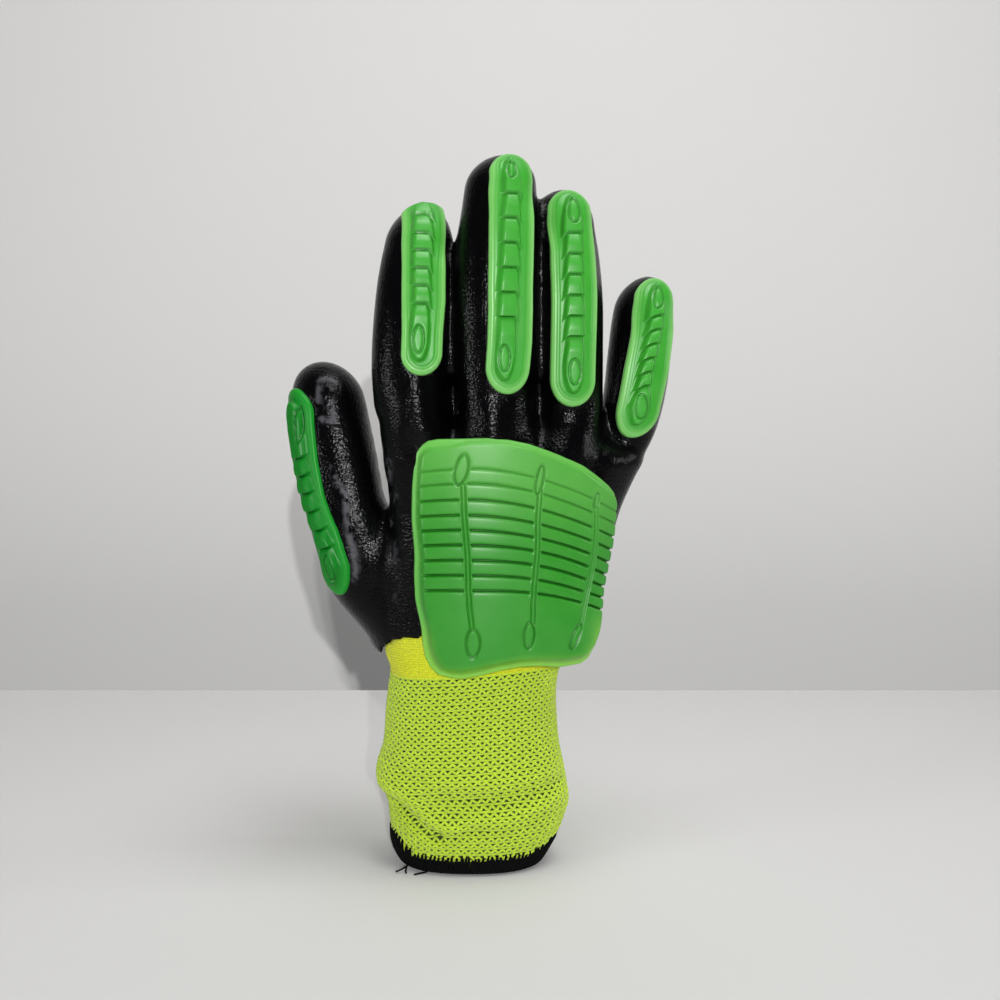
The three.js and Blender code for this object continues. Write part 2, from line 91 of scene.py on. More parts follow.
def mesh_piece(name, points, faces, materials, face_materials=None):
    """Makes a smooth-shaded mesh object from points in millimetres."""
    mesh = bpy.data.meshes.new(name)
    mesh.from_pydata((np.asarray(points, float) * MM).tolist(), [], faces)
    mesh.validate()
    mesh.shade_smooth()
    for material in materials:
        mesh.materials.append(material)
    if face_materials is not None:
        mesh.polygons.foreach_set("material_index", np.asarray(face_materials, np.int32))
    piece = bpy.data.objects.new(name, mesh)
    bpy.context.scene.collection.objects.link(piece)
    print(name, "has", sum(len(face) - 2 for face in faces), "triangles")
    return piece


def add_values(piece, name, values):
    """Stores one number for each point of a mesh, which its material can read by name."""
    attribute = piece.data.attributes.new(name, "FLOAT", "POINT")
    attribute.data.foreach_set("value", np.asarray(values, np.float32).ravel())


# %% [markdown]
# ## Tools for materials
#
# Colours are written as the sRGB hex values that a picture shows, and one function turns them to the linear
# values that the shader works with. Another adds a node with its settings and links in one go.

# %% Colour and node helpers
def linear(hex_colour):
    """Turns an sRGB hex colour to linear red, green, blue and alpha."""
    channels = [int(hex_colour[i:i + 2], 16) / 255 for i in (1, 3, 5)]
    return [c / 12.92 if c <= 0.04045 else ((c + 0.055) / 1.055) ** 2.4 for c in channels] + [1.0]


def add_node(tree, kind, settings=None, inputs=None):
    """Adds one node. An input is a plain value, or an output socket of another node to link from."""
    node = tree.nodes.new(kind)
    for name, value in (settings or {}).items():
        setattr(node, name, value)
    for name, value in (inputs or {}).items():
        if isinstance(value, bpy.types.NodeSocket):
            tree.links.new(value, node.inputs[name])
        else:
            node.inputs[name].default_value = value
    return node


def new_material(name):
    """Makes a material with an empty node tree, and returns both."""
    material = bpy.data.materials.new(name)
    material.use_nodes = True
    material.node_tree.nodes.clear()
    return material, material.node_tree


def add_surface(tree, inputs):
    """Adds the shader with its inputs and links it to the output."""
    shader = add_node(tree, "ShaderNodeBsdfPrincipled", inputs=inputs)
    add_node(tree, "ShaderNodeOutputMaterial", inputs={"Surface": shader.outputs[0]})


def stored(tree, name):
    """The numbers that a mesh stores under a name."""
    return add_node(tree, "ShaderNodeAttribute", {"attribute_name": name}).outputs["Fac"]


def noise(tree, place, scale, detail):
    """A cloudy pattern. Its scale is per metre."""
    node = add_node(tree, "ShaderNodeTexNoise", inputs={"Vector": place, "Scale": scale, "Detail": detail})
    return node.outputs["Fac"]


def multiply_add(tree, value, factor, added, clamped=False):
    """The value times the factor, plus what is added."""
    settings = {"operation": "MULTIPLY_ADD", "use_clamp": clamped}
    return add_node(tree, "ShaderNodeMath", settings, {0: value, 1: factor, 2: added}).outputs[0]


def bumped(tree, height, strength, distance):
    """The direction of a surface that a pattern of heights makes uneven."""
    inputs = {"Strength": strength, "Distance": distance, "Height": height}
    return add_node(tree, "ShaderNodeBump", inputs=inputs).outputs["Normal"]


def mixed(tree, share, first, second):
    """Mixes two colours by a share and returns the colour socket."""
    node = add_node(tree, "ShaderNodeMix", {"data_type": "RGBA"})
    for socket, value in ((node.inputs[0], share), (node.inputs[6], first), (node.inputs[7], second)):
        if isinstance(value, bpy.types.NodeSocket):
            tree.links.new(value, socket)
        else:
            socket.default_value = value
    return node.outputs[2]


def levels(tree, value, low, high, to_low=0.0, to_high=1.0):
    """Maps a value from one range to another and returns the socket."""
    node = add_node(tree, "ShaderNodeMapRange", {"interpolation_type": "SMOOTHSTEP"}, {
        "Value": value, "From Min": low, "From Max": high, "To Min": to_low, "To Max": to_high,
    })
    return node.outputs["Result"]


# %% [markdown]
# ## Camera, light and floor
#
# The glove is seen from the front and a little above, from about 0.42 m. Three small flashes stand behind
# the camera and above it: their hard light makes the glossy coat sparkle and draws clear shadows on the wall.
# A broad lamp overhead lights the pale table, and a faint narrow lamp on each side edges the coat. The pale
# wall stands far enough back that the glove can be seen from all round.

# %% Camera
CAMERA_TARGET = (9.2, 0.0, 126.8)
CAMERA_PITCH = math.radians(7.0)
CAMERA_DISTANCE = 420.0
SENSOR_WIDTH = 36.0
FOCAL_SHARE = 1.235  # focal length as a share of the picture's width

camera_data = bpy.data.cameras.new("camera")
camera_data.sensor_width = SENSOR_WIDTH
camera_data.lens = SENSOR_WIDTH * FOCAL_SHARE
camera_data.clip_start = 0.01
camera = bpy.data.objects.new("camera", camera_data)
camera.location = (
    CAMERA_TARGET[0] * MM,
    (CAMERA_TARGET[1] - CAMERA_DISTANCE * math.cos(CAMERA_PITCH)) * MM,
    (CAMERA_TARGET[2] + CAMERA_DISTANCE * math.sin(CAMERA_PITCH)) * MM,
)
camera.rotation_euler = (math.radians(90) - CAMERA_PITCH, 0, 0)
bpy.context.scene.collection.objects.link(camera)
bpy.context.scene.camera = camera
bpy.context.scene.view_settings.view_transform = "Standard"
print("camera at", [round(c, 3) for c in camera.location])

# %% Lamps and world
LAMPS = [
    # name, place in metres, width, height, watts, spread in degrees
    ("low_flash", (0.136, -1.15, 0.405), 0.012, 0.012, 5.7, 180),
    ("middle_flash", (0.089, -1.15, 0.506), 0.012, 0.012, 2.8, 180),
    ("high_flash", (0.062, -1.15, 0.56), 0.012, 0.012, 2.8, 180),
    ("left_lamp", (-0.8, -0.4, 0.22), 0.12, 0.04, 0.04, 28),
    ("right_lamp", (0.8, 0.02, 0.3), 0.04, 0.08, 0.055, 50),
    ("top_lamp", (0.2, -0.15, 1.2), 0.6, 0.6, 2.35, 90),
]
GLOVE_MIDDLE = Vector((0.0, 0.0, 0.13))


def add_lamp(name, place, width, height, watts, spread):
    """A flat lamp that faces the middle of the glove."""
    lamp = bpy.data.lights.new(name, "AREA")
    lamp.shape = "RECTANGLE"
    lamp.size = width
    lamp.size_y = height
    lamp.energy = watts
    lamp.spread = math.radians(spread)
    holder = bpy.data.objects.new(name, lamp)
    holder.location = place
    holder.rotation_euler = (GLOVE_MIDDLE - Vector(place)).to_track_quat("-Z", "Y").to_euler()
    bpy.context.scene.collection.objects.link(holder)


for lamp_row in LAMPS:
    add_lamp(*lamp_row)

WORLD_STRENGTH = 0.12
world = bpy.data.worlds.new("studio")
world.use_nodes = True
world.node_tree.nodes["Background"].inputs["Color"].default_value = linear("#e9eaee")
world.node_tree.nodes["Background"].inputs["Strength"].default_value = WORLD_STRENGTH
bpy.context.scene.world = world

# %% Floor and backdrop
STUDIO_HALF_WIDTH = 1500.0
TABLE_FRONT = -1500.0
TABLE_BACK = 214.0
WALL_PLACE = 420.0  # mm behind the glove, so that a camera that goes round it still stands before the wall
WALL_FOOT = -300.0
WALL_TOP = 1500.0


def matt_board(name, corners, colour):
    """One flat pale sheet of the studio."""
    material, tree = new_material("matt_paint_of_" + name)
    add_surface(tree, {"Base Color": linear(colour), "Roughness": 0.8})
    mesh_piece(name, corners, [(0, 1, 2, 3)], [material])


matt_board("studio_table", [
    (-STUDIO_HALF_WIDTH, TABLE_FRONT, 0.0),
    (STUDIO_HALF_WIDTH, TABLE_FRONT, 0.0),
    (STUDIO_HALF_WIDTH, TABLE_BACK, 0.0),
    (-STUDIO_HALF_WIDTH, TABLE_BACK, 0.0),
], "#cdcccb")
matt_board("studio_wall", [
    (-STUDIO_HALF_WIDTH, WALL_PLACE, WALL_FOOT),
    (STUDIO_HALF_WIDTH, WALL_PLACE, WALL_FOOT),
    (STUDIO_HALF_WIDTH, WALL_PLACE, WALL_TOP),
    (-STUDIO_HALF_WIDTH, WALL_PLACE, WALL_TOP),
], "#eae9e7")

# %% [markdown]
# ## The sections of the hand
#
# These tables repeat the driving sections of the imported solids, so that the fine surfaces made here lie on
# them. Each digit is a stack of level ellipses with a domed tip. The palm and cuff have squarer sections.

# %% Section tables
BODY_POWER = 2.3  # roundness of the palm and cuff sections: 2 is an ellipse, more is squarer
PALM_TOP = 155.0
PALM_DOME = 15.0
PALM_DOME_POWER = 0.35
PALM_SIDE_ARCH = 0.4
PALM_LEAN = {"from": 22.0, "base": 136.0, "drop": 9.0, "over": 36.0}

# height, x, y, half width, half depth
DIGITS = {
    "index_finger": {
        "turn": 20, "tip": 226.0, "dome": 12.0,
        "rows": [
            (122, -13.5, -2.5, 11.5, 11.0),
            (136, -16.0, -4.6, 13.0, 12.0),
            (147, -18.2, -5.6, 13.6, 12.6),
            (158, -19.6, -5.8, 13.0, 12.4),
            (172, -20.2, -5.2, 13.3, 12.0),
            (188, -19.8, -3.0, 13.0, 11.6),
            (202, -19.2, 0.6, 12.2, 11.2),
            (214, -18.2, 4.6, 11.0, 10.6),
            (226, -16.6, 9.6, 10.0, 10.0),
        ],
    },
    "middle_finger": {
        "turn": 28, "tip": 242.0, "dome": 11.0,
        "rows": [
            (122, 7.6, -2.5, 14.0, 12.0),
            (148, 7.6, -4.8, 14.6, 12.8),
            (158, 7.5, -4.8, 13.6, 12.6),
            (176, 7.4, -4.2, 13.8, 12.4),
            (196, 7.2, -3.0, 13.8, 12.2),
            (214, 8.0, -0.6, 13.0, 11.8),
            (228, 9.0, 2.4, 12.2, 11.2),
            (243, 10.8, 6.6, 11.8, 10.6),
        ],
    },
    "ring_finger": {
        "turn": 12, "tip": 231.5, "dome": 11.0,
        "rows": [
            (122, 30.0, 4.6, 12.0, 11.0),
            (146, 31.7, 3.4, 13.7, 12.0),
            (158, 32.3, 3.6, 11.9, 11.8),
            (176, 32.3, 4.2, 11.8, 11.6),
            (194, 32.2, 5.2, 11.8, 11.4),
            (208, 31.6, 7.0, 11.2, 10.8),
            (220, 30.8, 9.4, 10.2, 10.2),
            (233, 30.6, 12.6, 9.4, 9.6),
        ],
    },
    "little_finger": {
        "turn": 15, "tip": 203.0, "dome": 11.0,
        "rows": [
            (112, 37.0, 8.5, 8.6, 8.8),
            (124, 41.0, 10.5, 9.4, 9.6),
            (137, 47.0, 12.2, 10.0, 10.6),
            (149, 53.2, 13.0, 9.8, 10.8),
            (162, 56.0, 13.6, 10.6, 10.8),
            (175, 57.4, 14.8, 11.0, 10.6),
            (188, 58.6, 17.0, 10.6, 10.2),
            (196, 59.6, 19.0, 9.8, 9.6),
            (204, 61.2, 21.5, 9.0, 9.0),
        ],
    },
    "thumb": {
        "turn": -53, "tip": 173.5, "dome": 12.0,
        "rows": [
            (62, -17.0, 4.0, 9.0, 9.0),
            (76, -23.6, 4.2, 11.0, 10.5),
            (94, -35.4, 5.0, 15.0, 13.0),
            (108, -39.8, 6.0, 16.6, 13.6),
            (120, -42.6, 7.0, 16.8, 13.8),
            (132, -44.8, 8.4, 15.6, 13.6),
            (144, -46.8, 9.8, 14.6, 13.2),
            (158, -49.6, 12.0, 13.4, 12.4),
            (173, -52.4, 15.0, 12.4, 11.4),
        ],
    },
}

# height, x, y, half width, half depth, arch of the back, turn
PALM = [
    (60, 0.0, 0.0, 29.4, 18.0, 0.5, 2),
    (76, 2.0, 0.2, 31.4, 18.0, 1.5, 6),
    (86, 6.2, 0.8, 34.8, 17.6, 2.5, 9),
    (98, 8.4, 1.2, 36.8, 17.0, 3.5, 11),
    (111, 9.8, 1.6, 38.4, 16.6, 4.0, 13),
    (122, 10.8, 2.0, 39.6, 16.4, 4.2, 13),
    (132, 12.6, 2.6, 41.8, 16.4, 4.2, 13),
    (141, 14.2, 3.0, 44.2, 16.4, 4.0, 13),
    (156, 15.6, 3.4, 46.0, 16.0, 3.6, 13),
]
PLATE_BED = [
    (60, 10.2, 0.8, 34.6, 17.4, 1.2, 11),
    (74, 9.8, 0.8, 35.4, 17.7, 2.0, 12),
    (86, 9.6, 1.0, 36.4, 17.6, 2.8, 12),
    *PALM[3:],
]
CUFF = [
    (0, -1.0, 0.0, 24.2, 15.6, 0.0, 0),
    (7, -0.6, 0.0, 27.4, 16.8, 0.0, 0),
    (12, 0.6, 0.0, 29.4, 17.6, 0.0, 0),
    (17, 1.2, 0.2, 30.6, 18.2, 0.0, 0),
    (22, 1.6, 0.4, 31.6, 17.8, 0.0, 0),
    (28, -0.4, 0.2, 32.8, 18.6, 0.0, 0),
    (34, -1.2, 0.0, 32.6, 19.0, 0.0, 0),
    (43, -0.8, 0.0, 30.4, 18.6, 0.0, 0),
    (55, -0.8, 0.0, 29.4, 18.2, 0.2, 1),
    (62, -0.4, 0.0, 29.0, 18.0, 0.6, 2),
    (69, 0.6, 0.0, 29.2, 18.0, 0.8, 3),
    (77, 1.6, 0.2, 32.2, 18.0, 1.5, 6),
    (86, 6.2, 0.8, 34.8, 17.6, 2.5, 9),
]


# %% Points on the sections
def section_point(row, turn, side, out):
    """A point 'side' mm across a section and 'out' mm towards the back of the hand."""
    angle = np.radians(turn)
    x = row[..., 1] + side * np.cos(angle) + out * np.sin(angle)
    y = row[..., 2] + side * np.sin(angle) - out * np.cos(angle)
    return np.stack([x, y, row[..., 0] + 0 * x], axis=-1)


def bulge(share, power):
    """How far a section reaches towards its back, at a share of its half width."""
    return (1 - np.minimum(np.abs(share), 1) ** power) ** (1 / power)


def shoulder_of(digit):
    """The height at which a digit's domed tip starts."""
    return digit["tip"] - digit["dome"]


def on_digit(digit, side, along):
    """A point on the back of a digit. Past the shoulder of its dome, the way up bends over the tip."""
    shoulder = shoulder_of(digit)
    over = np.maximum(along - shoulder, 0) / digit["dome"]
    nominal = read_rows(digit["rows"], np.minimum(along, shoulder))
    round_off = bulge(side / nominal[..., 3], 2)
    height = np.minimum(along, shoulder) + digit["dome"] * round_off * np.sin(over)
    row = read_rows(digit["rows"], height)
    return section_point(row, digit["turn"], side, row[..., 4] * round_off * np.cos(over))


def on_back(side, along):
    """A point on the bed that the plate follows on the back of the hand."""
    row = read_rows(PLATE_BED, along)
    share = side / row[..., 3]
    out = row[..., 4] * bulge(share, BODY_POWER) + row[..., 5] * (1 - share ** 2)
    return section_point(row, row[..., 6], side, out)


PROBE = 0.4  # mm between the points that measure a surface's slope


def normals_of(place, side, along):
    """The outward direction of a surface at many places at once."""
    across = place(side + PROBE, along) - place(side - PROBE, along)
    up = place(side, along + PROBE) - place(side, along - PROBE)
    normal = np.cross(across, up)
    return normal / np.linalg.norm(normal, axis=-1, keepdims=True)


# %% [markdown]
# ## The guards of the digits
#
# Each guard is one moulding of thermoplastic rubber: a thin flange with rounded ends, and on it a raised
# ridge cut into segments that overlap like the tail of a crayfish, with a pointed eye at one end or both. A
# relief suits it: a fine grid in two directions, across and along, whose height is a sum of smooth steps. The
# outline of the grid is the outline of the guard, so that its edge stays clean.

# %% Guard table
FLANGE = 1.5  # mm, thickness of the flange
RIDGE = 2.5  # mm that the ridge stands over the flange
EDGE_ROUND = 0.9  # mm, radius of the flange's edge
SUNK = 0.7  # mm that a guard's underside lies in the coat, where it is bonded
GUARD_STEP = 0.3  # mm between the rows of the relief of a guard
GUARD_COLUMNS = 64

# Each row of a guard holds: place along the digit, then four places across it, which are the left and right
# edge of the flange, and the left and right foot of the ridge. 'wrap' is how far in degrees the guard goes
# over the tip, and 'face' the way it faces. 'ends' are the lengths of the rounded ends, 'walls' the widths of
# the ridge's left and right wall. The notches hook down by 'droop' over 'reach' mm beside one foot of the
# ridge, and both their ends lie higher than the middle by 'arc'. Each eye has a place, half length, half
# width and lean in degrees.
GUARDS = {
    "index_guard": {
        "digit": "index_finger", "bottom": 169.2, "wrap": 66, "face": 4, "ends": (7.0, 2.2),
        "rows": [
            (169, -6.8, 6.4, -4.2, 1.8),
            (176, -6.6, 6.7, -4.3, 1.9),
            (183, -6.5, 6.8, -4.3, 2.3),
            (193, -6.9, 7.3, -3.9, 2.9),
            (205, -7.4, 6.8, -4.7, 2.5),
            (219, -7.9, 6.0, -5.3, 1.3),
            (230, -8.0, 5.6, -4.8, 0.2),
        ],
        "walls": (1.5, 1.7), "droop_side": 1, "droop": 2.1, "reach": 2.4, "arc": 0.0,
        "first": 192.0, "pitch": 5.6, "count": 6,
        "eyes": [(-1.5, 180.3, 4.6, 1.9, 0)],
    },
    "middle_guard": {
        "digit": "middle_finger", "bottom": 163.2, "wrap": 60, "face": 8, "ends": (9.0, 7.0),
        "rows": [
            (163, -9.2, 5.2, -6.4, -0.4),
            (171, -9.0, 5.4, -6.7, -0.3),
            (180, -8.3, 6.4, -6.1, 0.6),
            (190, -7.8, 6.9, -5.7, 2.0),
            (205, -7.9, 6.9, -5.2, 2.3),
            (217, -8.3, 6.6, -5.3, 1.8),
            (226, -8.4, 6.2, -5.0, 1.4),
            (232, -8.4, 5.9, -5.3, 0.1),
            (244, -8.4, 4.9, -5.0, -0.6),
        ],
        "walls": (1.6, 1.6), "droop_side": 1, "droop": 2.0, "reach": 1.9, "arc": 0.0,
        "first": 188.1, "pitch": 7.8, "count": 6,
        "eyes": [(-3.6, 174.6, 4.5, 1.8, 0), (-2.8, 233.5, 2.4, 1.3, 0)],
    },
    "ring_guard": {
        "digit": "ring_finger", "bottom": 158.8, "wrap": 57, "face": 12, "ends": (9.0, 7.0),
        "rows": [
            (159, -9.2, 5.9, -5.2, 1.4),
            (170, -9.1, 6.1, -5.1, 1.6),
            (195, -8.6, 6.9, -5.0, 1.8),
            (205, -8.4, 7.0, -4.6, 2.1),
            (216, -7.7, 6.9, -3.8, 2.7),
            (225, -7.1, 6.8, -2.9, 2.8),
            (233, -6.9, 6.5, -2.8, 2.8),
        ],
        "walls": (1.7, 1.6), "droop_side": -1, "droop": 2.0, "reach": 2.2, "arc": 0.0,
        "first": 182.1, "pitch": 6.6, "count": 6,
        "eyes": [(-1.7, 170.2, 4.5, 2.0, 0), (-0.1, 221.3, 3.8, 1.7, 0)],
    },
    "little_guard": {
        "digit": "little_finger", "bottom": 147.8, "wrap": 57, "face": 15, "ends": (9.0, 7.0),
        "rows": [
            (148, -9.0, 5.6, -6.0, 1.2),
            (158, -9.6, 5.8, -6.5, 1.4),
            (165, -9.3, 6.5, -5.6, 0.4),
            (171, -8.8, 7.2, -5.0, 0.8),
            (176, -8.2, 7.4, -4.4, 1.6),
            (184, -7.2, 7.8, -3.4, 2.9),
            (194, -6.6, 7.2, -3.0, 3.1),
            (204, -6.0, 6.4, -2.6, 2.6),
        ],
        "walls": (2.0, 1.7), "droop_side": -1, "droop": 2.6, "reach": 4.4, "arc": 0.0,
        "first": 165.8, "pitch": 4.6, "count": 6,
        "eyes": [(-2.3, 158.5, 4.4, 2.2, -10), (0.1, 193.5, 3.4, 1.6, 0)],
    },
    "thumb_guard": {
        "digit": "thumb", "bottom": 95.2, "wrap": 14, "face": -40, "ends": (9.0, 8.0),
        "rows": [
            (95, -3.6, 9.0, -0.8, 6.8),
            (106, -1.6, 11.6, 1.4, 9.3),
            (113, -1.0, 11.4, 1.4, 9.3),
            (118, -1.5, 10.8, 0.8, 8.5),
            (123, -2.8, 9.2, -0.7, 7.0),
            (129, -4.5, 7.6, -2.4, 5.4),
            (141, -6.3, 6.6, -3.7, 4.0),
            (156, -7.0, 7.2, -3.8, 4.9),
            (166, -6.8, 7.0, -3.4, 5.0),
        ],
        "walls": (2.6, 1.8), "droop_side": 1, "droop": -0.7, "reach": 6.5, "arc": 1.1,
        "first": 111.8, "pitch": 5.85, "count": 6,
        "eyes": [(6.0, 105.6, 4.6, 1.7, 2), (3.2, 152.2, 6.4, 1.2, 6)],
    },
}


# %% The surface that a guard lies on
FACE_ZONE = (-12.0, -1.0)  # mm from the tip's dome between which a guard comes to follow the digit closely
SHEET_RADIUS = 34.0  # mm, how gently a stiff guard bends across the digit
BED_BLEND = 1.0  # mm over which the guard's own bend and the digit's surface run together


def lines_of(guard, along):
    """The flange's left and right edge and the ridge's left and right foot, at places along a guard."""
    rows = np.array(guard["rows"])
    return [np.interp(along, rows[:, 0], rows[:, i]) for i in (1, 2, 3, 4)]


def middle_of(guard, along):
    left, right = lines_of(guard, along)[:2]
    return (left + right) / 2


def soft_max(first, second, blend):
    """The greater of two values, with the change from one to the other rounded over a blend."""
    share = np.clip(0.5 + 0.5 * (first - second) / blend, 0.0, 1.0)
    return second + share * (first - second) + blend * share * (1 - share)


def guard_frame(guard, along):
    """The middle of a guard at places along it, and its two level directions: across and outward."""
    middle = on_digit(DIGITS[guard["digit"]], middle_of(guard, along), along)
    angle = math.radians(guard["face"])
    across = np.array([math.cos(angle), math.sin(angle), 0.0])
    outward = np.array([math.sin(angle), -math.cos(angle), 0.0])
    return middle, across, outward


def digit_reach(digit, middle, across, outward, offset):
    """How far out the digit's surface lies from a guard's middle, at sideways offsets from it."""
    row = read_rows(digit["rows"], middle[..., 2])
    turn = math.radians(digit["turn"])
    wide = np.array([math.cos(turn), math.sin(turn)])
    deep = np.array([math.sin(turn), -math.cos(turn)])
    start = middle[..., :2] + offset[..., None] * across[:2] - row[..., 1:3]
    start_wide = start @ wide / row[..., 3]
    start_deep = start @ deep / row[..., 4]
    step_wide = outward[:2] @ wide / row[..., 3]
    step_deep = outward[:2] @ deep / row[..., 4]
    square = step_wide ** 2 + step_deep ** 2
    half_slope = start_wide * step_wide + start_deep * step_deep
    rest = start_wide ** 2 + start_deep ** 2 - 1
    return (np.sqrt(np.maximum(half_slope ** 2 - square * rest, 0)) - half_slope) / square


def on_guard_bed(guard, side, along):
    """A guard is stiff: it bends less than the digit under it, and faces its own way below the tip."""
    digit = DIGITS[guard["digit"]]
    shoulder = shoulder_of(digit)
    side, along = np.broadcast_arrays(side, along)
    followed = on_digit(digit, side, along)
    low = np.minimum(along, shoulder)
    middle, across, outward = guard_frame(guard, low)
    middle[..., 2] = low
    offset = side - middle_of(guard, along)
    reach = digit_reach(digit, middle, across, outward, offset)
    reach = soft_max(reach, -offset ** 2 / (2 * SHEET_RADIUS), BED_BLEND)
    stiff = middle + offset[..., None] * across + reach[..., None] * outward
    own = (1 - ramp(along, shoulder + FACE_ZONE[0], shoulder + FACE_ZONE[1]))[..., None]
    return followed + own * (stiff - followed)


# %% The relief of a guard
PAD_END = 3.9  # mm between the end of the flange and the end of the ridge
PAD_END_WALL = 1.3
FLARE = 0.4  # mm that each segment widens towards its lower end on its plain side
FLARE_DROOP = 1.0  # mm that it widens on the side where its notches droop
SEGMENT_DROP = 0.48  # part of the ridge's height that each segment falls towards its upper end
SEGMENT_ROLL = 0.1  # part of the ridge's height that it falls again just before its lower end
SEGMENT_POWER = 2.2
ROLL_PHASE = 0.55
FLARE_PHASE = 0.6  # part of the way down a segment where it is as wide as its table says
TOP_FALL = 0.5  # part of a segment's fall that the pad above the last notch takes
LOWEST_SEGMENT = 1.3  # length of the lowest segment, in pitches
DROOP_LIMIT = 1.1
DROOP_POWER = 1.6
DROOP_FADE = 9.0  # mm from a guard's end over which its rows come to run level
OUTLINE_ROUNDS = 6  # rounds in which the drooping rows of a guard settle on its outline
EYE_POWER = 1.9  # roundness of an eye: 1 is a diamond, 2 an ellipse
EYE_DEPTH = 1.0
EYE_WALL = (-0.15, 0.3)  # mm inside an eye's outline between which its wall falls
EYE_CORE = 0.8  # mm that the middle of an eye rises again
EYE_CORE_WALL = (0.35, 0.85)
NOTCH_SHADE = 0.42  # mm below a notch over which painted shade darkens the rubber
FAR_BELOW = 99.0
EYE_RING = 0.25  # mm inside an eye's outline where its groove is deepest and its painted shade darkest
EYE_SHADE = 0.3
TERRACES = (1.0, 1.9, 2.8)  # mm from the edge of the flange to its fine moulded steps
TERRACE_RISE = 0.2
TERRACE_HALF = 0.12
NOTCH_CUT = 1.3  # mm that the surface is undercut right below a notch
NOTCH_CUT_LENGTH = 0.65
NOTCH_ROWS = (-1.4, -1.0, -0.7, -0.45, -0.22, -0.03, 0.05, 0.16, 0.36, 0.6)  # mm from a notch
NOTCH_MARGIN = 0.1  # mm between these rows and the evenly spaced ones
END_ROWS = 6  # rows that lie closer at each end of a guard
END_LENGTH = 1.2  # mm that these rows take
END_WIDTH = 1.003  # square of the share of its width that a guard's end row keeps, plus 1
GUARD_STRIDE = 31  # columns of the upper face for each column of the underside
FLANGE_GLOW = 3.5  # mm from the edge over which a flange looks thin


def end_share(guard, along, top, inset):
    """0 on the straight part of a guard, rising to 1 at its two rounded ends."""
    low_length, top_length = guard["ends"]
    low = 1 - (along - guard["bottom"] - inset) / low_length
    high = 1 - (top - inset - along) / top_length
    return np.clip(np.maximum(low, high), 0, 1)


def eye_inside(side, along, eye):
    """About how far inside a slightly pointed oval each place lies, in mm; below 0 is outside."""
    eye_side, eye_along, half_length, half_width, lean = eye
    tilt = math.radians(lean)
    across = (side - eye_side) * math.cos(tilt) - (along - eye_along) * math.sin(tilt)
    up = (side - eye_side) * math.sin(tilt) + (along - eye_along) * math.cos(tilt)
    u = np.abs(across) / half_width + 1e-3
    v = np.abs(up) / half_length + 1e-3
    share = (u ** EYE_POWER + v ** EYE_POWER) ** (1 / EYE_POWER)
    power = EYE_POWER - 1
    slope = np.hypot((u / share) ** power / half_width, (v / share) ** power / half_length)
    return (1 - share) / slope


def rounded_edge(inside):
    """The profile of a moulding's edge: 0 at its outline, rising to 1 where the round ends."""
    return np.sqrt(1 - (1 - np.clip(inside / EDGE_ROUND, 0, 1)) ** 2)


def notch_places(guard):
    return guard["first"] + guard["pitch"] * np.arange(guard["count"])


def segment_phase(guard, level):
    """0 just under a notch and 1 at the lower end of the segment, where it laps over the next."""
    first, pitch = guard["first"], guard["pitch"]
    last = notch_places(guard)[-1]
    within = 1 - np.mod(level - first, pitch) / pitch
    above = 1 - TOP_FALL * ramp(level, last, last + 2 * pitch)
    below = ramp(first - level, 0.0, LOWEST_SEGMENT * pitch)
    return np.where(level >= last, above, np.where(level < first, below, within))


def droop_wall(guard, side, level):
    """How far the notches have drooped: 0 on the flat of a ridge, 1 at its foot and little more beyond."""
    left_foot, right_foot = lines_of(guard, level)[2:]
    from_foot = right_foot - side if guard["droop_side"] > 0 else side - left_foot
    return np.clip(1 - from_foot / guard["reach"], 0.0, DROOP_LIMIT) ** DROOP_POWER


def guard_relief(guard, side, along, level, top):
    """A guard's height over its bed, how far in from its edge it is, how much is ridge, and how dark its
    painted shade is.
    """
    left, right, left_foot, right_foot = lines_of(guard, along)
    half = (right - left) / 2
    share = np.hypot((side - (left + right) / 2) / half, end_share(guard, along, top, 0.0))
    inside = np.maximum(1 - share, 0) * half
    height = FLANGE * rounded_edge(inside)
    for step in TERRACES:
        height = height + TERRACE_RISE * ramp(inside, step - TERRACE_HALF, step + TERRACE_HALF)
    phase = segment_phase(guard, level)
    ending = end_share(guard, along, top, PAD_END)
    ridge_half = (right_foot - left_foot) / 2 * np.sqrt(1 - ending ** 2)
    off_middle = side - (left_foot + right_foot) / 2
    flare = np.array([FLARE, FLARE_DROOP][::guard["droop_side"]])[:, None, None] * (phase - FLARE_PHASE)
    rise = ramp(ridge_half + off_middle + flare[0], 0, guard["walls"][0])
    rise = rise * ramp(ridge_half - off_middle + flare[1], 0, guard["walls"][1])
    rise = rise * ramp(1 - ending, 0, PAD_END_WALL / guard["ends"][0])
    drop = SEGMENT_DROP * (1 - phase) ** SEGMENT_POWER + SEGMENT_ROLL * ramp(phase, ROLL_PHASE, 1.0)
    ridge = RIDGE * (1 - drop)
    for notch in notch_places(guard):
        ridge = ridge - NOTCH_CUT * np.where(level < notch, hump(notch - level, NOTCH_CUT_LENGTH), 0)
    height = height + rise * ridge
    # Painted shade: the rubber is drawn darker below each notch and in the ring of each eye.
    below = [np.where(level < notch, notch - level, FAR_BELOW) for notch in notch_places(guard)]
    deep = sum(hump(distance, NOTCH_SHADE) for distance in below) * rise
    for eye in guard["eyes"]:
        into = eye_inside(side, along, eye)
        height = height + EYE_CORE * ramp(into, *EYE_CORE_WALL) - EYE_DEPTH * ramp(into, *EYE_WALL)
        deep = np.maximum(deep, hump(into - EYE_RING, EYE_SHADE))
    return height, inside, rise, deep


def spaced(start, end, step):
    """Places from start to end, a step apart in the middle and closer near both ends."""
    near = END_LENGTH * (1 - np.cos(np.linspace(0, math.pi / 2, END_ROWS)))
    middle = np.linspace(start + END_LENGTH, end - END_LENGTH, int((end - start) / step))
    return np.concatenate([start + near[:-1], middle, (end - near[:-1])[::-1]])


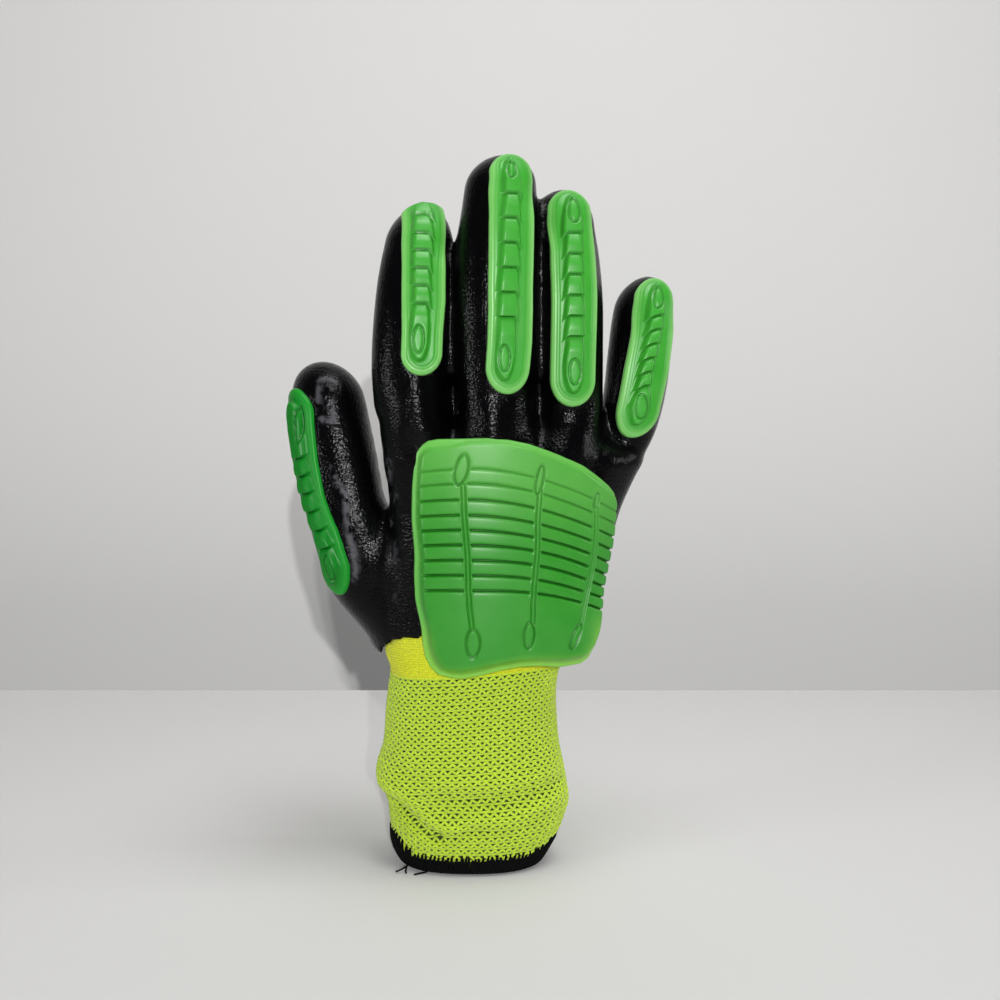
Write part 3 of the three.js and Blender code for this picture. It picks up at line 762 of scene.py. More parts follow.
def guard_levels(guard, top):
    """The rows of a guard's relief, closer at each notch so that its edge stays sharp."""
    plain = spaced(guard["bottom"], top, GUARD_STEP)
    notches = notch_places(guard)
    clear = np.abs(plain[:, None] - notches - 0.5 * (NOTCH_ROWS[0] + NOTCH_ROWS[-1])).min(axis=1)
    plain = plain[clear > 0.5 * (NOTCH_ROWS[-1] - NOTCH_ROWS[0]) + NOTCH_MARGIN]
    return np.sort(np.concatenate([plain, (notches[:, None] + np.array(NOTCH_ROWS)).ravel()]))


def closed_relief(name, bed, side, along, height, depth, stride, material, values):
    """A closed body: a fine upper face with stored values, and an underside with every stride-th column."""
    normal = normals_of(bed, side, along)
    base = bed(side, along)
    upper = base + normal * height[..., None]
    rows, columns = side.shape
    kept = np.unique(np.append(np.arange(0, columns, stride), columns - 1))
    lower = (base - normal * depth)[:, kept]
    points = np.concatenate([upper.reshape(-1, 3), lower.reshape(-1, 3)])
    top_at = np.arange(rows * columns).reshape(rows, columns)
    low_at = rows * columns + np.arange(rows * len(kept)).reshape(rows, len(kept))
    over = np.stack([top_at[:-1, :-1], top_at[:-1, 1:], top_at[1:, 1:], top_at[1:, :-1]], -1)
    under = np.stack([low_at[:-1, :-1], low_at[1:, :-1], low_at[1:, 1:], low_at[:-1, 1:]], -1)
    left = np.stack([low_at[:-1, 0], top_at[:-1, 0], top_at[1:, 0], low_at[1:, 0]], -1)
    right = np.stack([top_at[:-1, -1], low_at[:-1, -1], low_at[1:, -1], top_at[1:, -1]], -1)
    faces = np.concatenate([part.reshape(-1, 4) for part in (over, under, left, right)]).tolist()
    for i in range(len(kept) - 1):
        near = top_at[0, kept[i]:kept[i + 1] + 1].tolist()
        far = top_at[-1, kept[i]:kept[i + 1] + 1].tolist()
        faces.append([int(low_at[0, i]), int(low_at[0, i + 1])] + near[::-1])
        faces.append([int(low_at[-1, i + 1]), int(low_at[-1, i])] + far)
    piece = mesh_piece(name, points, faces, [material])
    for key, above in values.items():
        below = np.full(lower.size // 3, float(key == "thin"))
        add_values(piece, key, np.concatenate([above.ravel(), below]))
    return piece


def make_guard(name, guard, material):
    """Builds the relief of one guard on its digit."""
    digit = DIGITS[guard["digit"]]
    top = shoulder_of(digit) + math.radians(guard["wrap"]) * digit["dome"]
    level = np.repeat(guard_levels(guard, top)[:, None], GUARD_COLUMNS, axis=1)
    shares = np.sin(np.linspace(-math.pi / 2, math.pi / 2, GUARD_COLUMNS))
    fade = ramp(np.minimum(level - guard["bottom"], top - level), 0.0, DROOP_FADE)
    along = level
    for _ in range(OUTLINE_ROUNDS):
        left, right, left_foot, right_foot = lines_of(guard, along)
        narrowed = np.sqrt(END_WIDTH - end_share(guard, along, top, 0.0) ** 2)
        side = (left + right) / 2 + shares * narrowed * (right - left) / 2
        off_middle = np.clip((2 * side - left_foot - right_foot) / (right_foot - left_foot), -1, 1)
        bend = guard["arc"] * off_middle ** 2 - guard["droop"] * droop_wall(guard, side, along)
        along = level + fade * bend
    height, inside, rise, deep = guard_relief(guard, side, along, level, top)
    # 'deep' carries the painted shade of the notches and eyes.
    values = {"thin": (1 - rise) * ramp(inside, FLANGE_GLOW, 0.0), "deep": deep}
    bed = functools.partial(on_guard_bed, guard)
    return closed_relief(name, bed, side, along, height, SUNK, GUARD_STRIDE, material, values)


# %% [markdown]
# ## Rubber of the guards
#
# The guards are injection-moulded thermoplastic rubber: satin, and slightly translucent, so that thin places
# look lighter than thick ones. Subsurface scattering gives the soft look. Values stored at each point say how
# thin the moulding is there, where the yellow knit glows through it, and where a painted shade darkens a
# groove.
# On the plate, the value for thin places also carries a painted light on its upper part.

# %% Guard rubber
CLOUD_SCALE = 160.0  # per metre: cloudy patches of about 6 mm
CLOUD_SHARE = 0.25
GRAIN_SCALE = 2600.0  # per metre: a grain of about 0.4 mm
GROOVE_SHADE = 0.55  # share of the painted shade colour at the bottom of a groove


def rubber(name, thick_colour, thin_colour, warm_colour, groove_shade_colour, roughness, gloss):
    """Satin translucent rubber: its colour shifts where it is thin or lit from below, and a painted shade
    darkens its grooves.
    """
    material, tree = new_material(name)
    place = add_node(tree, "ShaderNodeTexCoord").outputs["Object"]
    cloud = noise(tree, place, CLOUD_SCALE, 3.0)
    share = multiply_add(tree, cloud, CLOUD_SHARE, stored(tree, "thin"), clamped=True)
    colour = mixed(tree, share, linear(thick_colour), linear(thin_colour))
    colour = mixed(tree, stored(tree, "warm"), colour, linear(warm_colour))
    # Painted shade: the stored 'deep' values darken grooves, notches and eye rings towards the shade colour.
    shade = levels(tree, stored(tree, "deep"), 0.0, 1.0, 0.0, GROOVE_SHADE)
    colour = mixed(tree, shade, colour, linear(groove_shade_colour))
    add_surface(tree, {
        "Base Color": colour,
        "Roughness": roughness,
        "IOR": 1.5,
        "Specular IOR Level": gloss,
        "Subsurface Weight": 0.25,
        "Subsurface Radius": (0.4, 1.0, 0.3),
        "Subsurface Scale": 0.0014,
        "Normal": bumped(tree, noise(tree, place, GRAIN_SCALE, 2.0), 0.18, 0.0001),
    })
    return material


guard_rubber = rubber("green_thermoplastic_rubber", "#27931d", "#74ba60", "#9ccc3c", "#0b560a", 0.36, 0.4)
plate_rubber = rubber("moulded_plate_rubber", "#1f8218", "#62ae4a", "#9ccc3c", "#0a4c0a", 0.36, 0.4)
thumb_rubber = rubber(
    "deep_green_thermoplastic_rubber", "#057018", "#188626", "#4f9a30", "#033c0c", 0.38, 0.22
)

# %% Make the five guards
for guard_name, guard_row in GUARDS.items():
    rubber_used = thumb_rubber if guard_name == "thumb_guard" else guard_rubber
    guard_piece = make_guard(guard_name + "_relief", guard_row, rubber_used)
    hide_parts(guard_name)
    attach(guard_piece, "root")

# %% [markdown]
# ## The plate on the back of the hand
#
# This is one larger moulding with nine drooping grooves that let it bend, three lengthwise beads with an eye
# at each end, and a thin rim. Its grid follows the grooves one way and the beads the other way, so both stay
# crisp without a very fine mesh.

# %% Lines of the plate
# side and height of the plate's edges, in mm
PLATE_LEFT = [
    (71.0, -24.5), (73.6, -26.9), (76.8, -28.4), (81.0, -29.2), (91.0, -29.6), (99.4, -30.0),
    (106.0, -31.2), (119.1, -33.1), (132.2, -35.4), (139.5, -36.5), (143.0, -36.6), (145.2, -36.1),
    (147.0, -34.9), (148.3, -33.0),
]
PLATE_RIGHT = [
    (73.6, 26.0), (77.9, 29.4), (82.8, 30.6), (87.7, 31.7), (92.5, 33.1), (100.0, 34.5), (108.0, 35.0),
    (115.0, 35.5), (123.0, 35.3), (127.4, 34.4), (129.9, 33.0),
]
PLATE_TOP = [
    (-36.1, 145.2), (-34.9, 147.0), (-33.0, 148.3), (-30.0, 148.9), (-26.0, 149.0), (-13.8, 149.3),
    (-7.4, 148.6), (-0.8, 147.2), (6.1, 144.8), (13.2, 142.0), (18.8, 139.6), (25.0, 135.8), (30.0, 132.5),
    (33.0, 129.9), (35.0, 127.5),
]
PLATE_BOTTOM = [
    (-26.9, 73.6), (-24.5, 71.0), (-20.7, 70.2), (-17.0, 69.9), (-11.4, 71.0), (-5.0, 72.5), (1.6, 73.5),
    (8.4, 73.3), (16.0, 72.2), (23.4, 72.4), (26.0, 73.6), (28.0, 75.5),
]
# height left of the first bead, and how deep the groove is cut
PLATE_GROOVES = [
    (100.1, 1.0), (105.2, 1.0), (110.1, 1.0), (115.0, 1.0), (119.8, 0.95), (124.6, 0.85), (129.6, 0.75),
    (134.8, 0.45), (139.5, 0.35),
]
# height of a groove, how far it droops 32 mm right of the middle, and how sharply: low ones stay level longer
GROOVE_DROOPS = [(100.0, 11.1, 2.9), (105.0, 11.6, 2.5), (120.0, 13.1, 1.95), (140.0, 15.0, 1.7)]
DROOP_START = -18.0  # side at which the grooves start to droop, both ways
DROOP_LENGTH = 50.0
LEFT_LENGTH = 12.0
LEFT_DROP = 0.7  # mm that a groove droops at that length to the left
# height and side along each bead
BEADS = [
    [(70.0, -13.4), (80.1, -13.6), (85.9, -13.8), (91.7, -13.4), (97.6, -13.1), (103.6, -14.1),
     (109.5, -15.5), (121.0, -17.3), (132.5, -19.8), (138.3, -21.2), (150.0, -23.4)],
    [(70.0, 3.6), (81.7, 4.6), (86.9, 5.2), (92.0, 6.3), (97.3, 7.2), (102.6, 7.0), (107.8, 6.3),
     (118.2, 5.7), (128.6, 4.6), (138.9, 3.0), (150.0, 1.4)],
    [(70.0, 15.0), (80.3, 19.0), (93.6, 24.3), (98.4, 25.8), (103.2, 26.2), (117.4, 25.9), (122.3, 25.4),
     (131.9, 23.6), (150.0, 20.0)],
]
BEAD_SPANS = [(86.6, 134.6), (88.2, 132.0), (86.0, 126.0)]
# side, height, half length, half width, lean
PLATE_EYES = [
    (-21.5, 139.2, 4.8, 1.9, 2),
    (3.4, 135.6, 4.5, 1.1, 0),
    (24.3, 128.2, 2.5, 0.8, 0),
    (-13.6, 82.7, 4.6, 2.1, 2),
    (4.1, 84.7, 4.2, 1.6, 8),
    (19.8, 82.8, 4.2, 1.2, 24),
]


def groove_line(place, side):
    """The height of a groove at each side: it droops towards the little finger."""
    heights, drops, powers = zip(*GROOVE_DROOPS)
    right = np.maximum(side - DROOP_START, 0) / DROOP_LENGTH
    left = np.maximum(DROOP_START - side, 0) / LEFT_LENGTH
    drop = np.interp(place, heights, drops) * right ** np.interp(place, heights, powers)
    return place - drop - LEFT_DROP * left ** 2


def read_line(line, at):
    """Reads a line given as (place, value) pairs."""
    places, values = zip(*line)
    return np.interp(at, places, values)


# %% Grid and relief of the plate
PLATE_FLANGE = 1.5
PLATE_RISE = 2.1
# places in mm over which something starts and is complete: at the left edge, at the lower edge, from top to
# bottom, and from inside a line of the plate to outside it
LEFT_ZONE = (-20, -30)
LOW_ZONE = (84, 74)
DOWN_ZONE = (135, 85)
LINE_CLEARANCE = (-0.55, -0.85)
RING_CLEARANCE = (0.0, -0.3)
SWELL_ZONE = (0.0, 0.5)  # mm inside a line of the plate between which it swells
FAR_OUTSIDE = -9.0
RIM = 0.5  # mm from the edge to the foot of the bevel, and more at the left and lower edges
RIM_LEFT = 0.7
RIM_LOW = 0.6
BEVEL = 1.7  # mm across the bevel, and more at the left and lower edges
BEVEL_LEFT = 0.8
BEVEL_DOWN = 2.0
BEVEL_LOW = 1.6
GROOVE_MARGIN = 1.9  # mm that the grooves stop short of the left edge, and more at the bottom
GROOVE_MARGIN_DOWN = 1.6
GROOVE_FADE = 1.5
GROOVE_SLOPE = 0.25  # part of a groove's depth that slopes away below it
GROOVE_SLOPE_LENGTH = 1.2
GROOVE_AT_RIM = 0.55
LINE_SWELL = 0.2  # mm that the beads and eyes stand higher than the plate
LINE_SHADE = 0.7
BEAD_HALF = 0.6  # mm from the middle of a bead to the fine groove beside it
FINE_DEPTH = 0.55
FINE_HALF = 0.24
RING_DEPTH = 0.75
RING_HALF = 0.36
GROOVE_DEPTH = 1.6
GROOVE_HALF = 0.36
PLATE_SUNK = 0.7
GROOVE_ROWS = (0.0, 0.1, 0.21, 0.34, 0.52, 0.8)  # mm from a groove
ROW_GAPS = (26.0, *[5.0] * (len(PLATE_GROOVES) - 1), 9.0)  # mm between the control lines, about
ROW_STEP = 0.36
BEAD_REACH = 2.9  # mm on each side of a bead that has closely spaced columns
BEAD_STEP = 0.125  # mm between columns within 1 mm of a bead
BEAD_COLUMNS = 8  # columns from there to the end of that reach
COLUMN_COUNTS = (22, 18, 20, 16)  # columns between the closely spaced ones
EDGE_ROWS = 7
EDGE_TURN = 0.32  # radians of a quarter turn over which the edge rows are spaced
PLATE_MIDDLE = 110.0
GRID_ROUNDS = 8  # rounds in which the rows and columns of the grid settle on each other
BORDER_PARTS = 4  # points of the border for each step of the grid


def level_family():
    """Row lines of the plate, each as a pair of control lines and a share between them."""
    family = []
    for i, gap in enumerate(ROW_GAPS):
        near = np.array(GROOVE_ROWS) / gap
        edge = 1 - np.cos(np.linspace(0, EDGE_TURN, EDGE_ROWS))
        start = edge if i == 0 else near
        end = 1 - (edge if i == len(ROW_GAPS) - 1 else near)[::-1]
        middle = np.linspace(start[-1], end[0], int((end[0] - start[-1]) * gap / ROW_STEP))[1:-1]
        end = end if i == len(ROW_GAPS) - 1 else end[:-1]
        family += [(i, share) for share in np.concatenate([start, middle, end])]
    return family


def side_family():
    """Column lines of the plate: two control lines with a shift in mm from each, and a share between them."""
    near = np.arange(0.0, 1.0, BEAD_STEP)
    close = np.concatenate([near, np.linspace(1.0, BEAD_REACH, BEAD_COLUMNS)])
    close = np.concatenate([-close[:0:-1], close])
    family = []
    for j, count in enumerate(COLUMN_COUNTS):
        shares = np.arange(count) / count
        if j == 0:
            shares = 1 - np.cos(shares * math.pi / 2)
        if j == len(COLUMN_COUNTS) - 1:
            shares = np.sin(np.arange(1, count + 1) / count * math.pi / 2)
        shift_far = 0.0 if j == len(COLUMN_COUNTS) - 1 else -BEAD_REACH
        family += [(j, BEAD_REACH * (j > 0), j + 1, shift_far, share) for share in shares]
        if j < len(BEADS):
            shifts = close if j == len(BEADS) - 1 else close[:-1]
            family += [(j + 1, shift, j + 1, 0.0, 0.0) for shift in shifts]
    return family


def control_level(i, side):
    """The i-th control line of the rows: the bottom edge, the grooves, then the top edge."""
    if i == 0:
        return read_line(PLATE_BOTTOM, side)
    if i > len(PLATE_GROOVES):
        return read_line(PLATE_TOP, side)
    return groove_line(PLATE_GROOVES[i - 1][0], side)


def control_side(j, height):
    """The j-th control line of the columns: the left edge, the beads, then the right edge."""
    if j == 0:
        return read_line(PLATE_LEFT, height)
    if j > len(BEADS):
        return read_line(PLATE_RIGHT, height)
    return read_line(BEADS[j - 1], height)


def plate_grid():
    """Side and height at each point of a grid that follows the grooves and the beads."""
    rows = level_family()
    columns = side_family()
    side = np.zeros((len(rows), len(columns)))
    along = np.full((len(rows), len(columns)), PLATE_MIDDLE)
    for _ in range(GRID_ROUNDS):
        for c, (j, shift, j_far, shift_far, share) in enumerate(columns):
            near = control_side(j, along[:, c]) + shift
            far = control_side(j_far, along[:, c]) + shift_far
            side[:, c] = near + share * (far - near)
        for r, (i, share) in enumerate(rows):
            near = control_level(i, side[r])
            along[r] = near + share * (control_level(i + 1, side[r]) - near)
    return side, along


def distance_to_border(side, along):
    """How far each point of a grid lies from the grid's own border."""
    grid = np.stack([side, along], -1)
    border = np.concatenate([grid[0], grid[:, -1], grid[-1, ::-1], grid[::-1, 0]])
    ahead = np.roll(border, -1, axis=0)
    parts = [border + (ahead - border) * part / BORDER_PARTS for part in range(BORDER_PARTS)]
    border = np.concatenate(parts)
    rows = [np.hypot(*(row[:, None] - border).transpose(2, 0, 1)).min(axis=1) for row in grid]
    return np.array(rows)


def line_art(side, along):
    """How far inside the beads and inside the eyes each point lies, in mm; below 0 is outside."""
    beads = np.full_like(side, FAR_OUTSIDE)
    for line, (start, end) in zip(BEADS, BEAD_SPANS):
        across = np.abs(side - read_line(line, along))
        beads = np.maximum(beads, np.minimum(BEAD_HALF - across, np.minimum(along - start, end - along)))
    eyes = np.max([eye_inside(side, along, eye) for eye in PLATE_EYES], axis=0)
    return beads, eyes


def plate_relief(side, along):
    """The plate's height over the back of the hand, how far in it is, its rise and how dark its painted shade
    is.
    """
    inside = distance_to_border(side, along)
    edge = rounded_edge(inside)
    leftness = ramp(side, *LEFT_ZONE)
    lowness = ramp(along, *LOW_ZONE)
    downness = ramp(along, *DOWN_ZONE)
    start = RIM + RIM_LEFT * leftness + RIM_LOW * lowness
    bevel = BEVEL + leftness * (BEVEL_LEFT + BEVEL_DOWN * downness) + BEVEL_LOW * lowness
    rise = ramp(inside, start, start + bevel)
    beads, eyes = line_art(side, along)
    inner = np.maximum(beads, eyes)
    clear = ramp(inner, *LINE_CLEARANCE)
    cut = np.zeros_like(side)
    painted_groove_shade = np.zeros_like(side)
    for place, strength in PLATE_GROOVES:
        off = along - groove_line(place, side)
        painted_groove_shade = np.maximum(painted_groove_shade, strength * hump(off, GROOVE_HALF))
        slope = np.where(off < 0, np.exp(off / GROOVE_SLOPE_LENGTH), 0)
        cut = cut + strength * (hump(off, GROOVE_HALF) + GROOVE_SLOPE * slope)
    cut_end = read_line(PLATE_LEFT, along) + GROOVE_MARGIN + GROOVE_MARGIN_DOWN * downness
    clear = clear * ramp(side, cut_end, cut_end + GROOVE_FADE)
    cut = GROOVE_DEPTH * cut * clear
    height = PLATE_FLANGE * edge + PLATE_RISE * rise - cut * np.maximum(rise, GROOVE_AT_RIM * edge)
    lines = FINE_DEPTH * hump(beads, FINE_HALF) * ramp(eyes, *RING_CLEARANCE)
    lines = np.maximum(lines, RING_DEPTH * hump(eyes, RING_HALF))
    height = height + rise * (LINE_SWELL * ramp(inner, *SWELL_ZONE) - lines)
    # Painted shade: the cores of the grooves and the fine lines of the beads and eyes are drawn darker.
    deep = np.maximum(painted_groove_shade * clear, LINE_SHADE * lines / RING_DEPTH) * rise
    return height, inside, rise, deep


PLATE_STRIDE = 10  # columns of the upper face for each column of the underside
UPPER_PAINTED_LIGHT = 0.5  # painted light: how much lighter the upper part is drawn, lit from above, in a zone that leans with the grooves
UPPER_LEAN = 0.25
UPPER_SHIFT = 5
UPPER_ZONE = (112, 144)
CORNER_THIN = 0.5  # how thin the lower right corner looks
RIGHT_ZONE = (20, 30)
CORNER_ZONE = (96, 80)
RIM_GLOW = 4.0  # mm from the edge over which the rim looks thin
WARM_SHARE = 0.45  # how strongly the yellow knit shows through the lower rim
WARM_REACH = 6.0
WARM_ZONE = (92, 80)


def make_plate():
    """Builds the plate and stores where its rubber looks thin, where the yellow knit glows through it, and
    its painted light and shade.
    """
    side, along = plate_grid()
    height, inside, rise, deep = plate_relief(side, along)
    # Painted light: the upper part is drawn lighter through the 'thin' value, as lit from above.
    upper = UPPER_PAINTED_LIGHT * ramp(along + UPPER_LEAN * (side + UPPER_SHIFT), *UPPER_ZONE)
    corner = CORNER_THIN * ramp(side, *RIGHT_ZONE) * ramp(along, *CORNER_ZONE)
    thin = np.clip((1 - rise) * ramp(inside, RIM_GLOW, 0.0) + upper + corner, 0, 1)
    warm = WARM_SHARE * ramp(inside, WARM_REACH, 0.0) * ramp(along, *WARM_ZONE)
    return closed_relief(
        "back_plate_relief", on_back, side, along, height, PLATE_SUNK, PLATE_STRIDE, plate_rubber,
        {"thin": thin, "warm": warm, "deep": deep},
    )


plate = make_plate()
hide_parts("back_guard")
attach(plate, "root")

# %% [markdown]
# ## The coated hand
#
# The palm and the five stalls are one seamless dipped liner, so their surfaces must run into each other
# softly. A distance field does that well: each part is a field of distances, the fields are joined with a
# rounded minimum, and openvdb turns the place where the joined field is zero into a mesh. Wrinkles, the web
# of the thumb and the flats that the guards are bonded to are added to the field before that. The same field,
# drawn in by the thickness of the wall, is cut out as the hollow for the hand.

# %% Fields of distances
GRID_STEP = 1.2
GRID_LOW = (-72.0, -31.0, 60.0)
GRID_SIZE = (124, 56, 157)
COAT_WALL = 1.8
DIGIT_JOIN = 5.0
THUMB_JOIN = (4.5, 12.0)  # mm over which the thumb blends with the palm: at the web, and at its root
THUMB_JOIN_LEVELS = (122.0, 104.0)  # heights of the web and of the root
RELAX_PUSHES = (0.5, -0.52) * 5
DIGIT_ROOT = 8.0  # mm above a digit's lowest row where its inner end starts to close
PALM_SHEAR_LIMIT = 0.35
SIZE_LIMIT = 1.5  # share of the palm's size beyond which its distances needn't be exact
LEAST = 0.02  # the least value under a square root, so that a closing end stays open a little
PALM_FIELD_REACH = 4.0  # mm above the palm's top for which its rows are read
BED_RISE = 2.2  # mm over which a guard's flat runs into the digit
BED_MARGIN = 0.2  # mm that it is wider than the guard
BED_LOWER = 0.5  # mm that it starts below the guard
BED_THICK = 14.0
BED_ROUND = 1.0
BED_END = 6.0  # mm below the shoulder of the digit where it ends
BED_END_ROUND = 4.0
LINER_NEAR = 0.7  # mm from the hollow's surface within which a face is liner
# mm over which each finger blends with the one before it, which also closes the gap between their roots
FINGER_JOIN = {"middle_finger": 6.0, "ring_finger": 7.0, "little_finger": 5.0}
# x, y, lowest and highest place in mm, and radius of the coat that fills the crotch between two fingers
CROTCHES = [(-6.8, 0.0, 146.0, 172.0, 4.2), (22.4, 1.5, 144.0, 172.0, 4.0), (44.6, 9.0, 136.0, 150.0, 3.6)]
CROTCH_JOIN = 4.0

axis_x, axis_y, axis_z = [
    GRID_LOW[i] + GRID_STEP * np.arange(GRID_SIZE[i]) for i in range(3)
]
X, Y, Z = np.meshgrid(axis_x, axis_y, axis_z, indexing="ij", sparse=True)


def soft_min(first, second, blend):
    """The smaller of two distances, with the inner corner between them filled over a blend."""
    return -soft_max(-first, -second, blend)


def digit_field(digit):
    """Distances from the surface of a digit, level by level."""
    row = read_rows(digit["rows"], np.clip(axis_z, digit["rows"][0][0], digit["tip"]))
    turn = math.radians(digit["turn"])
    dx, dy = X - row[:, 1], Y - row[:, 2]
    u = dx * math.cos(turn) + dy * math.sin(turn)
    v = -dx * math.sin(turn) + dy * math.cos(turn)
    wide, deep = row[:, 3], row[:, 4]
    root = digit["rows"][0][0] + DIGIT_ROOT
    over = (np.maximum(Z - shoulder_of(digit), 0) - np.maximum(root - Z, 0)) / digit["dome"]
    size = np.sqrt((u / wide) ** 2 + (v / deep) ** 2 + over ** 2) + 1e-6
    slope = np.sqrt((u / wide ** 2) ** 2 + (v / deep ** 2) ** 2 + (over / digit["dome"]) ** 2) + 1e-6
    return (size - 1) * size / slope


def palm_field():
    """Distances from the surface of the palm, whose knuckles lean down towards the little finger."""
    shoulder = PALM_TOP - PALM_DOME
    base, drop = PALM_LEAN["base"], PALM_LEAN["drop"]
    sideways = np.maximum(X - PALM_LEAN["from"], 0) / PALM_LEAN["over"]
    share = drop * sideways ** 2 / (PALM_TOP - base)
    height = np.where(Z > base, base + (Z - base) / np.maximum(1 - share, PALM_SHEAR_LIMIT), Z) + 0 * Y
    row = read_rows(PALM, np.minimum(height, PALM_TOP + PALM_FIELD_REACH))
    turn = np.radians(row[..., 6])
    dx, dy = X - row[..., 1], Y - row[..., 2]
    u = dx * np.cos(turn) + dy * np.sin(turn)
    v = -dx * np.sin(turn) + dy * np.cos(turn)
    over = np.clip((height - shoulder) / PALM_DOME, 0, None)
    closing = np.sqrt(np.maximum(1 - over ** 2, LEAST))
    wide = row[..., 3] * closing ** PALM_DOME_POWER
    deep = row[..., 4]
    arch = row[..., 5] * closing * np.clip(1 - (u / wide) ** 2, 0, 1)
    v = v + arch * np.where(v < 0, 1.0, PALM_SIDE_ARCH)
    size = (np.abs(u / wide) ** BODY_POWER + np.abs(v / deep) ** BODY_POWER) ** (1 / BODY_POWER)
    size = np.hypot(size, over) + 1e-6
    gradient_u = np.abs(u / wide) ** (BODY_POWER - 1) / wide
    gradient_v = np.abs(v / deep) ** (BODY_POWER - 1) / deep
    slope = np.hypot(np.hypot(gradient_u, gradient_v), over / PALM_DOME) + 1e-4
    return (size - 1) * np.minimum(size, SIZE_LIMIT) ** (BODY_POWER - 1) / slope


def hand_field():
    """The palm and digits as one field."""
    fingers = digit_field(DIGITS["index_finger"])
    for name, blend in FINGER_JOIN.items():
        fingers = soft_min(fingers, digit_field(DIGITS[name]), blend)
    whole = soft_min(palm_field(), fingers, DIGIT_JOIN)
    for x, y, low, high, radius in CROTCHES:
        crotch = np.sqrt((X - x) ** 2 + (Y - y) ** 2 + (Z - np.clip(Z, low, high)) ** 2) - radius
        whole = soft_min(whole, crotch, CROTCH_JOIN)
    at_web, at_root = THUMB_JOIN
    blend = at_web + (at_root - at_web) * ramp(Z, *THUMB_JOIN_LEVELS)
    return soft_min(whole, digit_field(DIGITS["thumb"]), blend)


def bed_field(guard):
    """The raised flat under a guard: inside its outline and below its bed."""
    shoulder = shoulder_of(DIGITS[guard["digit"]])
    middle, across, outward = guard_frame(guard, np.minimum(axis_z, shoulder))
    left, right = lines_of(guard, axis_z)[:2]
    dx, dy = X - middle[:, 0], Y - middle[:, 1]
    offset = dx * across[0] + dy * across[1]
    out = dx * outward[0] + dy * outward[1]
    above = out + offset ** 2 / (2 * SHEET_RADIUS)
    ended = np.maximum(guard["bottom"] - BED_LOWER - Z, Z - (shoulder - BED_END))
    low_length = guard["ends"][0]
    ending = np.clip(1 - (Z - guard["bottom"]) / low_length, 0, 1)
    half = (right - left) / 2 * np.sqrt(np.maximum(1 - ending ** 2, LEAST)) + BED_MARGIN
    beside = np.abs(offset) - half
    body = soft_max(soft_max(above, beside, BED_ROUND), ended, BED_END_ROUND)
    return soft_max(body, -out - BED_THICK, BED_ROUND)


# %% Wrinkles and creases of the coat
# Each is a line of points (x, z), a rise (below 0 sinks in) and a width, in mm. They act on the back only.
CREASES = [
    ([(-31.0, 143.0), (-29.6, 133.0), (-27.6, 124.0)], 0.55, 1.2),
    ([(-28.2, 145.0), (-27.2, 134.0), (-25.6, 125.0)], 0.5, 1.1),
    ([(-6.6, 166.0), (-6.4, 156.0), (-5.6, 147.0)], -2.2, 2.8),
    ([(22.6, 165.0), (22.8, 154.0), (22.0, 143.0)], -2.0, 2.8),
    ([(45.5, 154.0), (43.5, 147.0), (40.5, 138.0)], -1.6, 2.6),
    ([(-17.5, 166.0), (-16.5, 158.0), (-15.0, 151.0)], 1.2, 3.4),
    ([(-22.5, 161.0), (-21.5, 152.0)], 0.6, 2.2),
    ([(6.5, 156.0), (7.5, 150.0)], 1.5, 4.4),
    ([(14.0, 160.0), (13.0, 151.0)], 0.5, 1.8),
    ([(32.0, 150.0), (30.5, 143.0)], 1.4, 3.8),
    ([(37.5, 152.0), (36.0, 144.0)], 0.5, 1.6),
    ([(-33.0, 100.0), (-30.0, 96.0), (-28.0, 90.0)], -0.4, 1.8),
]
# The palm is drawn in beside the root of the thumb, on both faces.
WEB = [(-31.5, 153.0), (-30.5, 141.0), (-29.5, 128.0)]
WEB_DEPTH = 1.6
WEB_WIDTH = 3.4
CREASE_ZONE = (6.0, 0.0)  # y in mm between which the creases fade in towards the back of the hand


def distance_to_path(x, z, path):
    """The distance in the picture plane from each place to a bent line."""
    best = None
    for (x1, z1), (x2, z2) in zip(path[:-1], path[1:]):
        length = (x2 - x1) ** 2 + (z2 - z1) ** 2
        t = np.clip(((x - x1) * (x2 - x1) + (z - z1) * (z2 - z1)) / length, 0, 1)
        distance = np.hypot(x - x1 - t * (x2 - x1), z - z1 - t * (z2 - z1))
        best = distance if best is None else np.minimum(best, distance)
    return best


# x and height of the coat's edge on the back of the wrist
COAT_EDGE = [
    (-34.0, 74.5), (-31.0, 75.0), (-29.0, 79.0), (-26.0, 81.0), (-19.0, 82.0), (-15.0, 84.0), (30.0, 84.0),
]
COAT_EDGE_PALM_SIDE = 77.0
COAT_EDGE_ZONE = (6.0, -6.0)  # y in mm between which the edge goes over to its course on the back


def coat_edge(x, y):
    """The height of the coat's slightly wavy lower edge round the wrist."""
    front = ramp(y, *COAT_EDGE_ZONE)
    level = np.interp(x, *zip(*COAT_EDGE))
    wave = 0.25 * np.sin(x * 2.1) + 0.15 * np.sin(x * 3.7 + 1.0) + 0.3 * np.cos(y * 0.9)
    return COAT_EDGE_PALM_SIDE + front * (level - COAT_EDGE_PALM_SIDE) + wave


# %% Cut the hollow and make the mesh
def smooth(field):
    """Rounds a field off by mixing each value with its neighbours."""
    for axis in range(3):
        ends = [(1, 1) if i == axis else (0, 0) for i in range(3)]
        padded = np.moveaxis(np.pad(field, ends, mode="edge"), axis, 0)
        mixed_field = 0.25 * padded[:-2] + 0.5 * padded[1:-1] + 0.25 * padded[2:]
        field = np.moveaxis(mixed_field, 0, axis)
    return field


